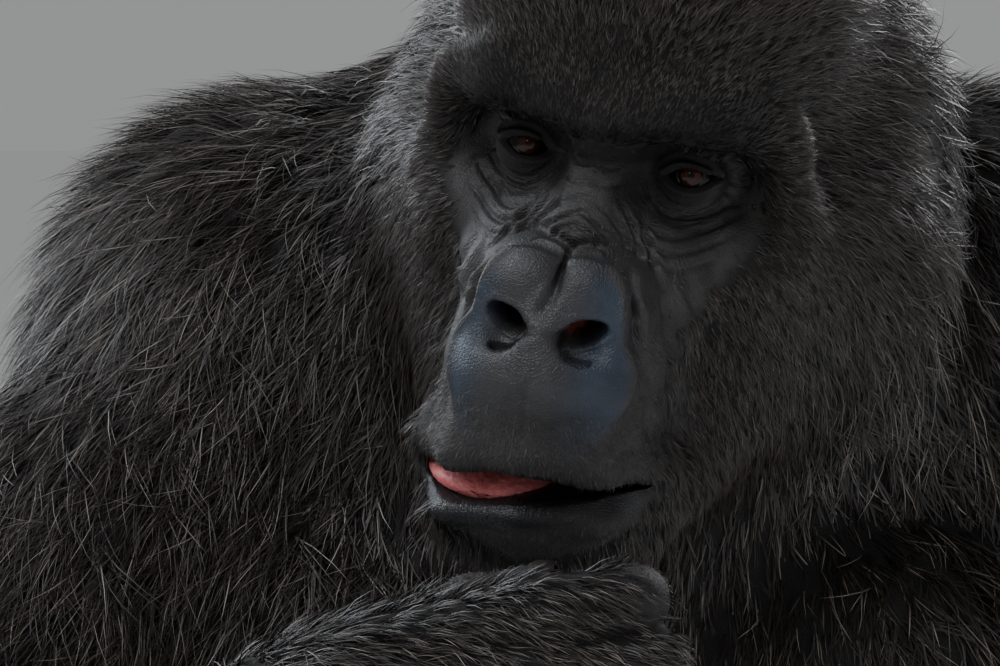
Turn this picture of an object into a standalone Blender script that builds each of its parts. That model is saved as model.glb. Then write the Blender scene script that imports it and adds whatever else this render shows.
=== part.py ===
"""A seated adult male western lowland gorilla, life size, as a still display model.

The body is one smooth skin of rounded forms (muscle masses and limb segments) that melt into each
other. Each form carries the depth of coat that lies over it, so the solids reach out to the tips of
the hair. The whole figure is meshed once and then parted by thin cuts at the joints.

Frame: metres, +Z up, the animal faces -Y, +X is its left. The origin is on the floor, under the rump.
"""

import math

import bmesh
import bpy
import numpy as np
from mathutils import Euler, Matrix, Vector

# ---------------------------------------------------------------- driving dimensions
meshSize = 0.0065          # mesh size of the smooth body before it is thinned out
faceCare = 1.8             # how much the face is spared when the mesh is thinned out
faceRegion = 0.12          # radius of the region so spared
bodyTriangles = 3580       # triangles of the whole body before it is parted
partingGap = 0.0004        # width of the cuts between the parts
reachOfForms = 0.09        # a group of forms is felt this far away
farAway = 1.0
floorSnap = 0.003          # what lies this close to the floor is made flat on it

eyeHeight = 0.900          # floor to the point between the eyes
eyeForward = 0.380         # that point lies this far in front of the rump
headTurn = math.radians(-13.0)     # turned to its right
headNod = math.radians(16.5)       # chin down
headLean = math.radians(11.3)      # crown leaning to its left
eyeSpacing = 0.076         # between the pupils
eyeSlit = (0.0120, 0.0052)         # half the width and half the height of the open eye
eyeRadius = 0.0120
socketPlay = 0.0004        # between an eyeball and its socket
mouthDrop = 0.0045         # how far the mouth hangs
mouthSkew = 0.0075         # how much lower its right corner is

# Limb joints, (x, y, z).
hipJoint = (0.120, -0.080, 0.130)
kneeJoint = (0.335, -0.340, 0.275)
ankleJoint = (0.290, -0.530, 0.075)
rightShoulder = (-0.168, -0.150, 0.790)
rightElbow = (-0.400, -0.345, 0.500)
rightWrist = (-0.120, -0.475, 0.655)
rightKnuckles = (-0.027, -0.506, 0.668)
leftShoulder = (0.200, -0.130, 0.800)
leftElbow = (0.460, -0.150, 0.450)
leftWrist = (0.550, -0.370, 0.190)
leftKnuckles = (0.566, -0.428, 0.092)

# The head, neck, upper arm and thigh are parted by a thin round-ended sleeve about each.
headSleeve = ((0, 0.075, 0.030), (0, -0.010, -0.095))
headSleeveRadii = (0.172, 0.122)
neckSleeve = ((0, -0.170, 0.860), (0, -0.130, 0.850))
neckSleeveRadii = (0.200, 0.190)
armSleeveRadii = (0.142, 0.130)
legSleeveRadii = (0.146, 0.122)

# Fingers, from the index to the little finger.
fingerReach = (0.98, 1.06, 1.02, 0.86)
fingerRadius = 0.0145
fingerPitch = 0.0265
toePitch = 0.0255

skinBlack = (0.045, 0.043, 0.046, 1.0)
coatBlack = (0.060, 0.055, 0.054, 1.0)
coatSilver = (0.20, 0.195, 0.19, 1.0)
mouthPink = (0.62, 0.20, 0.19, 1.0)
eyeBrown = (0.16, 0.045, 0.02, 1.0)

headTurning = Matrix.Rotation(headLean, 3, "Y") @ Matrix.Rotation(headTurn, 3, "Z")
headTurning = headTurning @ Matrix.Rotation(headNod, 3, "X")
headMatrix = np.array(headTurning)
eyePoint = np.array((0.0, -eyeForward, eyeHeight))


def fromHead(place):
    """A place in the head's own frame (origin between the eyes, -Y forward), in the body's frame."""
    return tuple(eyePoint + headMatrix @ np.array(place))


def along(a, b, share):
    """The place that share of the way from a to b."""
    return tuple(np.array(a) + share * (np.array(b) - np.array(a)))


# ---------------------------------------------------------------- forms
class Lump:
    """An ellipsoid: a muscle, a pad or a hollow."""

    def __init__(self, centre, radii, turn=(0, 0, 0), blend=0.03, coat=0.0):
        self.centre = np.array(centre, float)
        self.radii = np.array(radii, float)
        self.axes = np.array(Euler([math.radians(a) for a in turn]).to_matrix())
        self.blend, self.coat = blend, coat
        self.low, self.high = self.centre - self.radii.max(), self.centre + self.radii.max()

    def distance(self, points):
        local = (points - self.centre) @ self.axes
        reach = np.linalg.norm(local / self.radii, axis=1) + 1e-9
        steep = np.linalg.norm(local / self.radii**2, axis=1) + 1e-9 / self.radii.min()
        return (reach - 1) * reach / steep


class Limb:
    """A tapering rod with round ends: a limb segment, a lip, a rim or a finger bone."""

    def __init__(self, start, end, startRadius, endRadius, blend=0.02, coat=0.0):
        self.start, self.end = np.array(start, float), np.array(end, float)
        self.radii = (startRadius, endRadius)
        self.blend, self.coat = blend, coat
        self.low = np.minimum(self.start, self.end) - max(self.radii)
        self.high = np.maximum(self.start, self.end) + max(self.radii)

    def distance(self, points):
        along = self.end - self.start
        share = np.clip((points - self.start) @ along / (along @ along), 0, 1)
        radius = self.radii[0] + share * (self.radii[1] - self.radii[0])
        return np.linalg.norm(points - self.start - share[:, None] * along, axis=1) - radius


def chain(places, radii, blend, coat):
    """Limbs through the places, one after the other."""
    return [
        Limb(places[i], places[i + 1], radii[i], radii[i + 1], blend, coat)
        for i in range(len(places) - 1)
    ]


def smoothMin(a, b, blend):
    share = np.clip(0.5 + 0.5 * (b - a) / blend, 0, 1)
    return b + (a - b) * share - blend * share * (1 - share)


def melted(forms, points, coat=1.0):
    """The distance to the forms, melted together in order, with the coat over them.

    Points well clear of all the forms are given farAway, which melts into nothing.
    """
    low = np.min([form.low for form in forms], axis=0) - reachOfForms
    high = np.max([form.high for form in forms], axis=0) + reachOfForms
    near = np.all((points > low) & (points < high), axis=1)
    total = np.full(len(points), farAway)
    if near.any():
        close = points[near]
        found = forms[0].distance(close) - coat * forms[0].coat
        for form in forms[1:]:
            found = smoothMin(found, form.distance(close) - coat * form.coat, form.blend)
        total[near] = found
    return total


# The head, in its own frame, for the side of +X. The other side is its mirror image.
headForms = [
    Lump((0, 0.088, 0.045), (0.076, 0.096, 0.088), coat=0.012),                     # braincase
    Lump((0, 0.072, 0.100), (0.044, 0.085, 0.076), blend=0.05, coat=0.018),         # crest of the crown
    Lump((0.046, 0.062, 0.062), (0.042, 0.068, 0.064), blend=0.03, coat=0.012),     # temple muscle
    Lump((0, 0.150, 0.020), (0.085, 0.065, 0.095), blend=0.04, coat=0.025),         # nape muscle
    Lump((0, 0.018, 0.056), (0.060, 0.040, 0.036), blend=0.03, coat=0.006),         # forehead
    Limb((0.070, 0.016, -0.036), (0.090, 0.070, -0.022), 0.016, 0.018, 0.025, 0.008),   # cheekbone arch
    Lump((0.066, 0.056, -0.055), (0.034, 0.056, 0.060), blend=0.025, coat=0.010),   # chewing muscle
    Lump((0.066, 0.135, -0.030), (0.052, 0.056, 0.082), blend=0.03, coat=0.014),    # ruff behind the cheek
    Limb((0.028, -0.026, -0.150), (0.058, 0.060, -0.105), 0.024, 0.028, 0.02, 0.010),   # jaw bone
    Lump((0, 0.040, -0.105), (0.070, 0.075, 0.060), blend=0.03, coat=0.012),        # floor of the mouth
    Lump((0, -0.034, -0.072), (0.049, 0.054, 0.046), blend=0.02),                   # upper jaw
    Lump((0, -0.050, -0.094), (0.049, 0.048, 0.035), blend=0.02),                   # muzzle
    Limb((0.028, -0.008, -0.042), (0.064, 0.010, -0.036), 0.018, 0.017, 0.014),     # cheekbone
    Limb((0, -0.010, 0.006), (0, -0.034, -0.028), 0.013, 0.017, 0.012),             # bridge of the nose
    Limb((0.010, -0.010, -0.012), (0.038, -0.020, -0.052), 0.0150, 0.0170, 0.018),  # slope by the nose
    Limb((0, -0.022, 0.026), (0.048, -0.014, 0.038), 0.0150, 0.0130, 0.012, 0.003),     # brow
    Limb((0.048, -0.014, 0.038), (0.074, 0.006, 0.022), 0.0130, 0.0110, 0.012, 0.003),  # outer brow
    Limb((0.074, 0.006, 0.022), (0.082, 0.022, -0.020), 0.0110, 0.0120, 0.014, 0.003),  # rim of the orbit
    Lump((0.0155, -0.050, -0.047), (0.0235, 0.023, 0.019), blend=0.008),            # pad of the nose
    Limb((0.012, -0.066, -0.042), (0.030, -0.061, -0.052), 0.0105, 0.0100, 0.008),  # wing of the nostril
    Limb((0.030, -0.061, -0.052), (0.0315, -0.064, -0.067), 0.0100, 0.0085, 0.006),
    Limb((0.0315, -0.064, -0.067), (0.020, -0.076, -0.077), 0.0085, 0.0070, 0.006),
    Limb((0, -0.074, -0.048), (0, -0.083, -0.074), 0.0055, 0.0050, 0.006),      # wall between the nostrils
    Lump((0, -0.036, -0.150), (0.044, 0.044, 0.027), blend=0.02, coat=0.004),       # lower jaw
    Lump((0, -0.050, -0.160), (0.030, 0.026, 0.022), blend=0.015, coat=0.008),      # chin
]
upperLip = chain(
    [(0, -0.0905, -0.111), (0.030, -0.079, -0.112), (0.050, -0.054, -0.113), (0.054, -0.031, -0.117)],
    [0.0085, 0.0085, 0.0078, 0.0050], 0.014, 0.0)
lowerLip = chain(
    [(0, -0.083, -0.1415), (0.030, -0.072, -0.1400), (0.050, -0.046, -0.1310), (0.056, -0.032, -0.1225)],
    [0.0085, 0.0085, 0.0075, 0.0060], 0.008, 0.0)
eyelids = Lump((eyeSpacing / 2, 0, 0), (0.0150, 0.0148, 0.0146), blend=0.005)
eyeHollow = Lump((eyeSpacing / 2, -0.024, -0.001), (0.0230, 0.0230, 0.0150))
mouthHollow = Lump((0, -0.048, -0.1345), (0.056, 0.056, 0.0085), turn=(0, -4.6, 0))
nostrilHollow = Lump((0.0145, -0.076, -0.0590), (0.0090, 0.020, 0.0080), turn=(0, 0, 15))
nostrilDish = Lump((0.0180, -0.084, -0.0620), (0.0125, 0.009, 0.0110))
def smoothStep(low, high, value):
    share = np.clip((value - low) / (high - low), 0, 1)
    return share * share * (3 - 2 * share)


def chewing(points):
    """How far the mouth hangs below its resting place: mouthDrop, and more towards its right corner."""
    sink = mouthDrop + mouthSkew * smoothStep(0.0, -0.050, points[:, 0])
    window = smoothStep(-0.082, -0.112, points[:, 2]) * smoothStep(-0.190, -0.163, points[:, 2])
    return sink * window * smoothStep(0.030, 0.005, points[:, 1])


def headField(points, coat=1.0):
    """The head's surface, in its own frame: bones and muscles, lips and lids, then the hollows."""
    points = points.copy()
    hollowed = mouthHollow.distance(points)
    points[:, 2] += chewing(points)
    points[:, 0] = np.abs(points[:, 0])
    total = melted(headForms, points, coat)
    total = smoothMin(total, melted(upperLip, points), 0.013)
    total = smoothMin(total, melted(lowerLip, points), 0.010)
    total = -smoothMin(-total, eyeHollow.distance(points), 0.010)
    total = smoothMin(total, eyelids.distance(points), eyelids.blend)
    total = -smoothMin(-total, hollowed, 0.004)
    return -smoothMin(-total, nostrilDish.distance(points), 0.006)


# The trunk, for the side of +X, mirrored as the head is.
trunkForms = [
    Lump((0, 0, 0.150), (0.200, 0.185, 0.165), coat=0.012),                           # rump
    Lump((0.110, -0.005, 0.110), (0.115, 0.140, 0.118), blend=0.05, coat=0.010),      # buttock
    Lump((0, -0.120, 0.350), (0.218, 0.215, 0.205), blend=0.07, coat=0.012),          # belly
    Lump((0, 0.000, 0.400), (0.200, 0.165, 0.220), blend=0.07, coat=0.014),           # loins
    Lump((0, -0.095, 0.600), (0.225, 0.195, 0.215), blend=0.07, coat=0.012),          # ribs
    Lump((0, -0.030, 0.690), (0.195, 0.150, 0.170), blend=0.05, coat=0.018),          # upper back
    Lump((0, -0.060, 0.810), (0.140, 0.125, 0.105), blend=0.06, coat=0.026),          # hump of the shoulders
    Lump((0.105, -0.225, 0.640), (0.110, 0.075, 0.095), blend=0.03, coat=0.006),      # breast muscle
    Lump((0.175, -0.055, 0.580), (0.080, 0.120, 0.180), blend=0.06, coat=0.020),      # back muscle
    Limb((0.060, -0.100, 0.865), (0.155, -0.140, 0.840), 0.085, 0.078, 0.05, 0.030),  # top of the shoulder
]
neckForms = [
    Limb(fromHead((0, 0.135, 0.010)), (0, -0.080, 0.820), 0.092, 0.135, 0.05, 0.030),
    Limb(fromHead((0, 0.045, -0.100)), (0, -0.165, 0.720), 0.070, 0.100, 0.05, 0.016),
    Limb(fromHead((0.070, 0.110, -0.065)), (0.100, -0.150, 0.780), 0.060, 0.085, 0.05, 0.018),
    Limb(fromHead((-0.070, 0.110, -0.065)), (-0.090, -0.150, 0.780), 0.060, 0.085, 0.05, 0.018),
]


def armForms(shoulder, elbow, wrist, deltoid):
    """Upper arm and forearm, with the long coat of the arm."""
    shoulder, elbow, wrist = (np.array(p) for p in (shoulder, elbow, wrist))
    return [
        Lump(deltoid, (0.098, 0.102, 0.100), blend=0.04, coat=0.033),
        Limb(shoulder, elbow, 0.082, 0.060, 0.05, 0.033),
        Limb(along(shoulder, elbow, 0.30), along(shoulder, elbow, 0.65), 0.080, 0.074, 0.04, 0.033),
        Limb(elbow, along(elbow, wrist, 0.35), 0.062, 0.066, 0.03, 0.032),
        Limb(along(elbow, wrist, 0.35), wrist, 0.062, 0.040, 0.03, 0.018),
    ]


def unit(vector):
    return np.array(vector, float) / np.linalg.norm(vector)


def rightHand():
    """A loose fist before the chin: back to the front, thumb side up, fingers curled in to the palm."""
    wrist, knuckles = np.array(rightWrist), np.array(rightKnuckles)
    along = unit(knuckles - wrist)
    inward = unit(np.cross(along, (0, 0, 1))) * -1
    inward = inward if inward[1] > 0 else -inward
    up = unit(np.cross(inward, along))
    up = up if up[2] > 0 else -up
    forms = [Limb(wrist, wrist + 0.55 * (knuckles - wrist), 0.036, 0.030, 0.02, 0.012)]
    for i, reach in enumerate(fingerReach):
        base = knuckles + (1.35 - i) * fingerPitch * up
        heel = wrist + (1.1 - i) * 0.017 * up + 0.02 * along
        bend = base + 0.036 * reach * along + 0.026 * inward
        curl = base + 0.014 * along + 0.058 * inward - 0.002 * up
        end = base - 0.014 * along + 0.050 * inward
        forms.append(Limb(heel, base, 0.024, 0.0165, 0.012, 0.006))
        forms += chain([base, bend, curl, end], [0.0160, fingerRadius, 0.0135, 0.0120], 0.004, 0.001)
    thumb = [
        wrist + 0.020 * along + 0.022 * up + 0.012 * inward,
        wrist + 0.055 * along + 0.040 * up + 0.034 * inward,
        wrist + 0.088 * along + 0.046 * up + 0.040 * inward,
    ]
    return forms, chain(thumb, [0.020, 0.0140, 0.0115], 0.008, 0.001)


def leftHand():
    """A fist set down on the backs of its middle finger bones, as in knuckle walking."""
    wrist, knuckles = np.array(leftWrist), np.array(leftKnuckles)
    ahead = unit((knuckles - wrist) * (1, 1, 0))
    across = np.array((-ahead[1], ahead[0], 0))
    forms = [Limb(wrist, wrist + 0.4 * (knuckles - wrist), 0.037, 0.032, 0.02, 0.014)]
    for i, reach in enumerate(fingerReach):
        side = (i - 1.5) * fingerPitch * across
        base = knuckles + side
        bend = (base + 0.050 * reach * ahead) * (1, 1, 0) + (0, 0, 0.0165)
        back = bend - 0.040 * reach * ahead - (0, 0, 0.0030)
        end = back - 0.022 * ahead + (0, 0, 0.022)
        forms.append(Limb(wrist + 0.55 * side, base, 0.026, 0.0185, 0.014, 0.008))
        forms += chain([base, bend, back, end], [0.0180, 0.0160, 0.0150, 0.0125], 0.004, 0.001)
    thumb = [wrist - 0.030 * across - (0, 0, 0.010), knuckles - 0.050 * across + 0.004 * ahead,
             knuckles - 0.044 * across + 0.034 * ahead - (0, 0, 0.020)]
    return forms, chain(thumb, [0.020, 0.0140, 0.0115], 0.008, 0.001)


hip, knee, ankle = (np.array(p) for p in (hipJoint, kneeJoint, ankleJoint))
calfBehind = np.array((0, 0.019, 0))
legForms = [
    Limb(hip, knee, 0.108, 0.076, 0.03, 0.014),
    Limb(knee, ankle, 0.070, 0.040, 0.03, 0.014),
    Limb(along(knee, ankle, 0.25) + calfBehind, along(knee, ankle, 0.60) + calfBehind,
         0.058, 0.046, 0.03, 0.014),
]


def footForms():
    """Heel, sole and four toes. The big toe stands off to the inside, as a thumb does."""
    ahead = unit((0.14, -1, 0))
    across = np.array((-ahead[1], ahead[0], 0))      # towards the outer side
    heel = np.array((ankle[0], ankle[1] + 0.020, 0.036))
    ball = heel + 0.165 * ahead
    forms = [
        Lump(heel + (0, 0.012, 0.004), (0.036, 0.046, 0.042), blend=0.02, coat=0.004),
        Limb(ankle, heel + 0.05 * ahead, 0.040, 0.036, 0.03, 0.010),
    ]
    for i in range(4):
        side = (i - 1.3) * toePitch * across
        root = ball + side - (0, 0, 0.010)
        reach = (1.0, 1.02, 0.95, 0.82)[i]
        middle = root + 0.050 * reach * ahead + (0, 0, 0.004)
        end = root + 0.082 * reach * ahead - (0, 0, 0.0125)
        forms.append(Limb(heel + 0.02 * ahead + 0.45 * side, root, 0.032, 0.024, 0.02, 0.004))
        forms += chain([root, middle, end], [0.0190, 0.0155, 0.0135], 0.005, 0.001)
    return forms


def bigToe():
    ahead = unit((0.14, -1, 0))
    across = np.array((-ahead[1], ahead[0], 0))
    heel = np.array((ankle[0], ankle[1] + 0.020, 0.036))
    places = [heel + 0.085 * ahead - 0.028 * across, heel + 0.125 * ahead - 0.058 * across - (0, 0, 0.012),
              heel + 0.165 * ahead - 0.070 * across - (0, 0, 0.018)]
    return chain(places, [0.026, 0.0200, 0.0165], 0.012, 0.002)


rightDeltoid = (-0.150, -0.145, 0.800)
leftDeltoid = (0.190, -0.140, 0.805)
rightArm = armForms(rightShoulder, rightElbow, rightWrist, rightDeltoid)
leftArm = armForms(leftShoulder, leftElbow, leftWrist, leftDeltoid)
rightFist, rightThumb = rightHand()
leftFist, leftThumb = leftHand()
footParts, toeParts = footForms(), bigToe()


def nearJoint(points, joint, inner, outer):
    """1 close to a joint, 0 away from it: where a limb melts into the trunk."""
    away = np.linalg.norm(points - np.array(joint), axis=1)
    share = np.clip((outer - away) / (outer - inner), 0, 1)
    return share * share * (3 - 2 * share)


def bodyField(points, coat=1.0):
    """Negative inside the animal, with the given share of its coat."""
    mirrored = points.copy()
    mirrored[:, 0] = np.abs(mirrored[:, 0])
    total = melted(trunkForms, mirrored, coat)
    legs = melted(legForms, mirrored, coat)
    legs = smoothMin(legs, melted(footParts, mirrored, coat), 0.015)
    legs = smoothMin(legs, melted(toeParts, mirrored, coat), 0.010)
    total = smoothMin(total, legs, 0.004 + 0.055 * nearJoint(mirrored, hipJoint, 0.10, 0.24))
    for arm, fist, thumb, shoulder in (
        (rightArm, rightFist, rightThumb, rightShoulder),
        (leftArm, leftFist, leftThumb, leftShoulder),
    ):
        limb = melted(arm, points, coat)
        hand = smoothMin(melted(fist, points, coat), melted(thumb, points, coat), 0.008)
        limb = smoothMin(limb, hand, 0.012)
        total = smoothMin(total, limb, 0.004 + 0.06 * nearJoint(points, shoulder, 0.12, 0.26))
    neck = melted(neckForms, points, coat)
    inHead = (points - eyePoint) @ headMatrix
    close = np.linalg.norm(inHead - (0, 0.04, 0), axis=1) < 0.34
    head = np.full(len(points), 1.0)
    if close.any():
        head[close] = headField(inHead[close], coat)
    nape = nearJoint(inHead, (0, 0.13, -0.02), 0.10, 0.22)
    neck = smoothMin(neck, head, 0.004 + 0.045 * nape)
    total = smoothMin(total, neck, 0.004 + 0.05 * nearJoint(points, (0, -0.12, 0.80), 0.14, 0.26))
    return np.maximum(total, -points[:, 2])


# ---------------------------------------------------------------- the smooth body
def addForm(bm, form, place, sides, segments=12, rings=7):
    """The form as a round solid, with its coat; `place` moves a point of the form into the body's frame."""
    for side in sides:
        if isinstance(form, Lump):
            made = bmesh.ops.create_icosphere(bm, subdivisions=3, radius=1.0)["verts"]
            for vert in made:
                spot = form.centre + form.axes @ (np.array(vert.co) * (form.radii + form.coat))
                vert.co = place(spot * (side, 1, 1))
        else:
            made = bmesh.ops.create_uvsphere(bm, u_segments=segments, v_segments=rings, radius=1.0)["verts"]
            along = Vector(form.end - form.start)
            turn = along.to_track_quat("Z", "Y")
            for vert in made:
                end, radius = (form.end, form.radii[1]) if vert.co.z > 0 else (form.start, form.radii[0])
                spot = np.array(turn @ vert.co) * (radius + form.coat) + end
                vert.co = place(spot * (side, 1, 1))
        if side < 0:
            bmesh.ops.reverse_faces(bm, faces=list({face for vert in made for face in vert.link_faces}))


def applied(item):
    """The object's modifiers are made part of its mesh."""
    bpy.context.view_layer.update()
    mesh = bpy.data.meshes.new_from_object(item.evaluated_get(bpy.context.evaluated_depsgraph_get()))
    item.modifiers.clear()
    item.data = mesh


def meshPoints(mesh):
    points = np.empty(len(mesh.vertices) * 3, np.float32)
    mesh.vertices.foreach_get("co", points)
    return points.reshape(-1, 3).astype(float)


def ontoField(points, rounds):
    """Moves the points along the steepest slope of the field, onto the body's surface."""
    reach = 0.0004
    for _ in range(rounds):
        here = bodyField(points)
        slope = np.empty_like(points)
        for axis in range(3):
            step = np.zeros(3)
            step[axis] = reach
            slope[:, axis] = (bodyField(points + step) - here) / reach
        size = np.maximum((slope**2).sum(1), 0.25)
        points = points - np.clip(here / size, -0.008, 0.008)[:, None] * slope
    return points


def magnified(points, back=False):
    """The body with its face swollen, so that thinning the mesh spares the face; or back to its size."""
    centre = np.array(fromHead((0, -0.045, -0.06)))
    radii = np.linspace(0, 3, 3001)
    swollen = radii * (1 + faceCare * np.exp(-(radii / faceRegion) ** 2))
    away = np.linalg.norm(points - centre, axis=1) + 1e-9
    reached = np.interp(away, swollen, radii) if back else np.interp(away, radii, swollen)
    return centre + (points - centre) * (reached / away)[:, None]


def smoothBody():
    """The round solids joined by a voxel remesh and drawn onto the field, then thinned out."""
    bm = bmesh.new()
    for form in trunkForms + legForms + footParts + toeParts:
        addForm(bm, form, tuple, (1, -1))
    for form in rightArm + leftArm + rightFist + leftFist + rightThumb + leftThumb + neckForms:
        addForm(bm, form, tuple, (1,))
    for form in headForms + upperLip + lowerLip + [eyelids]:
        addForm(bm, form, fromHead, (1, -1))
    mesh = bpy.data.meshes.new("body")
    bm.to_mesh(mesh)
    bm.free()
    body = bpy.data.objects.new("body", mesh)
    partCollection.objects.link(body)
    remesh = body.modifiers.new("remesh", "REMESH")
    remesh.mode = "VOXEL"
    remesh.voxel_size = meshSize
    applied(body)

    points = ontoField(meshPoints(body.data), 3)
    body.data.vertices.foreach_set("co", points.astype(np.float32).ravel())
    smooth = body.modifiers.new("even", "SMOOTH")
    smooth.factor = 0.5
    smooth.iterations = 2
    applied(body)
    points = ontoField(meshPoints(body.data), 3)
    points[:, 2] = np.where(points[:, 2] < floorSnap, 0.0, points[:, 2])
    body.data.vertices.foreach_set("co", magnified(points).astype(np.float32).ravel())
    thin = body.modifiers.new("thin", "DECIMATE")
    thin.ratio = bodyTriangles / sum(len(face.vertices) - 2 for face in body.data.polygons)
    thin.use_collapse_triangulate = True
    applied(body)
    points = magnified(meshPoints(body.data), back=True)
    points[:, 2] = np.where(points[:, 2] < floorSnap, 0.0, points[:, 2])
    body.data.vertices.foreach_set("co", points.astype(np.float32).ravel())
    body.data.update()
    return body


# ---------------------------------------------------------------- parting
def cut(target, cutter):
    """The cutter's shape is taken out of the target."""
    cutter.display_type = "WIRE"
    cutter.hide_render = True
    modifier = target.modifiers.new("cut", "BOOLEAN")
    modifier.operation = "DIFFERENCE"
    modifier.solver = "EXACT"
    modifier.object = cutter
    applied(target)


def inside(item, place):
    """True where a line from the place leaves the closed solid an odd number of times."""
    spot, heading, crossings = Vector(place), Vector((0.31, 0.17, 0.93)), 0
    while True:
        found, spot, _, _ = item.ray_cast(spot, heading)
        if not found:
            return crossings % 2 == 1
        crossings += 1
        spot = spot + 0.00001 * heading


def loosePieces(item):
    """The closed pieces an object has fallen into, each as an object of its own."""
    before = set(partCollection.objects)
    bpy.ops.object.select_all(action="DESELECT")
    item.select_set(True)
    bpy.context.view_layer.objects.active = item
    bpy.ops.object.mode_set(mode="EDIT")
    bpy.ops.mesh.select_all(action="SELECT")
    bpy.ops.mesh.separate(type="LOOSE")
    bpy.ops.object.mode_set(mode="OBJECT")
    return [item] + [piece for piece in partCollection.objects if piece not in before]


def parted(piece, cutter, landmark, count=2):
    """Cuts the piece with a thin wall: what holds the landmark, then the rest, the largest first.

    Slivers beyond the wanted count are scraps of coat, and are dropped.
    """
    cutterCollection.objects.link(cutter)
    cut(piece, cutter)
    pieces = loosePieces(piece)
    chosen = [item for item in pieces if inside(item, landmark)]
    others = sorted((item for item in pieces if item not in chosen), key=lambda item: -max(item.dimensions))
    for scrap in others[count - 1:]:
        bpy.data.objects.remove(scrap, do_unlink=True)
    return [chosen[0]] + others[:count - 1]


def split(piece, centre, normal, radius, landmark):
    """A thin flat cut through the piece: the side that holds the landmark, and the rest."""
    bpy.ops.mesh.primitive_cylinder_add(vertices=32, radius=radius, depth=partingGap, location=centre)
    cutter = bpy.context.object
    cutter.rotation_euler = Vector(normal).to_track_quat("Z", "Y").to_euler()
    return parted(piece, cutter, landmark)


def sleeve(start, end, radii):
    """A thin closed wall round a limb, with round ends."""
    bm = bmesh.new()
    for inset, flip in ((0.0, False), (partingGap, True)):
        form = Limb(start, end, radii[0] - inset, radii[1] - inset)
        before = set(bm.faces)
        addForm(bm, form, tuple, (1,), 9, 5)
        if flip:
            bmesh.ops.reverse_faces(bm, faces=[face for face in bm.faces if face not in before])
    mesh = bpy.data.meshes.new("sleeve")
    bm.to_mesh(mesh)
    bm.free()
    return bpy.data.objects.new("sleeve", mesh)


def material(name, colour, roughness):
    made = bpy.data.materials.get(name) or bpy.data.materials.new(name)
    made.use_nodes = True
    shader = made.node_tree.nodes["Principled BSDF"]
    shader.inputs["Base Color"].default_value = colour
    shader.inputs["Roughness"].default_value = roughness
    return made


def roundSolid(name, form, extra, collection, fineness=3):
    """An ellipsoid in the head's frame, as a solid grown by `extra`."""
    bpy.ops.mesh.primitive_ico_sphere_add(subdivisions=fineness, radius=1.0)
    item = bpy.context.object
    item.name = name
    size = Matrix.Diagonal([*(form.radii + extra), 1.0])
    turn = Matrix(form.axes.tolist()).to_4x4()
    centre = Matrix.Translation(form.centre)
    toBody = Matrix.Translation(eyePoint) @ headTurning.to_4x4()
    item.data.transform(toBody @ centre @ turn @ size)
    for other in item.users_collection:
        other.objects.unlink(item)
    collection.objects.link(item)
    item.data.shade_smooth()
    return item


for item in list(bpy.data.objects):
    bpy.data.objects.remove(item, do_unlink=True)
partCollection = bpy.data.collections.new("gorilla")
cutterCollection = bpy.data.collections.new("cutters")
bpy.context.scene.collection.children.link(partCollection)
bpy.context.scene.collection.children.link(cutterCollection)
body = smoothBody()

# Eyes, ears and tongue sit in sockets of their own shape.
tongueForm = Lump((-0.002, -0.036, -0.1410), (0.036, 0.036, 0.0075), turn=(0, -4.6, 0))
for side, sign in (("l", 1), ("r", -1)):
    ball = Lump((sign * eyeSpacing / 2, 0, 0), (eyeRadius,) * 3)
    ear = Lump((sign * 0.110, 0.118, 0.008), (0.028, 0.019, 0.032), turn=(0, 0, -25 * sign))
    dish = Lump((sign * 0.138, 0.106, 0.008), (0.014, 0.012, 0.018), turn=(0, 0, -25 * sign))
    for name, form, play, fineness in (("eye", ball, socketPlay, 2), ("ear", ear, partingGap, 2)):
        cut(body, roundSolid("socket", form, play, cutterCollection, fineness))
        made = roundSolid(name + "_" + side, form, 0.0, partCollection, fineness)
        if name == "ear":
            cut(made, roundSolid("dish", dish, 0.0, cutterCollection, fineness))
    bpy.ops.mesh.primitive_cylinder_add(vertices=16, radius=1.0, depth=1.0)
    slit = bpy.context.object
    almond = Matrix.Diagonal((*eyeSlit, 0.030, 1.0))
    lying = Matrix.Rotation(math.radians(90), 4, "X")
    spot = Matrix.Translation((sign * eyeSpacing / 2, -0.015, 0))
    slit.data.transform(Matrix.Translation(eyePoint) @ headTurning.to_4x4() @ spot @ lying @ almond)
    cutterCollection.objects.link(slit)
    cut(body, slit)
cut(body, roundSolid("mouth", mouthHollow, 0.0, cutterCollection, 2))
for sign in (1, -1):
    hollow = Lump(nostrilHollow.centre * (sign, 1, 1), nostrilHollow.radii, turn=(0, 0, 15 * sign))
    cut(body, roundSolid("nostril", hollow, 0.0, cutterCollection, 2))
cut(body, roundSolid("socket", tongueForm, partingGap, cutterCollection, 2))
roundSolid("tongue", tongueForm, 0.0, partCollection, 2)

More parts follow.
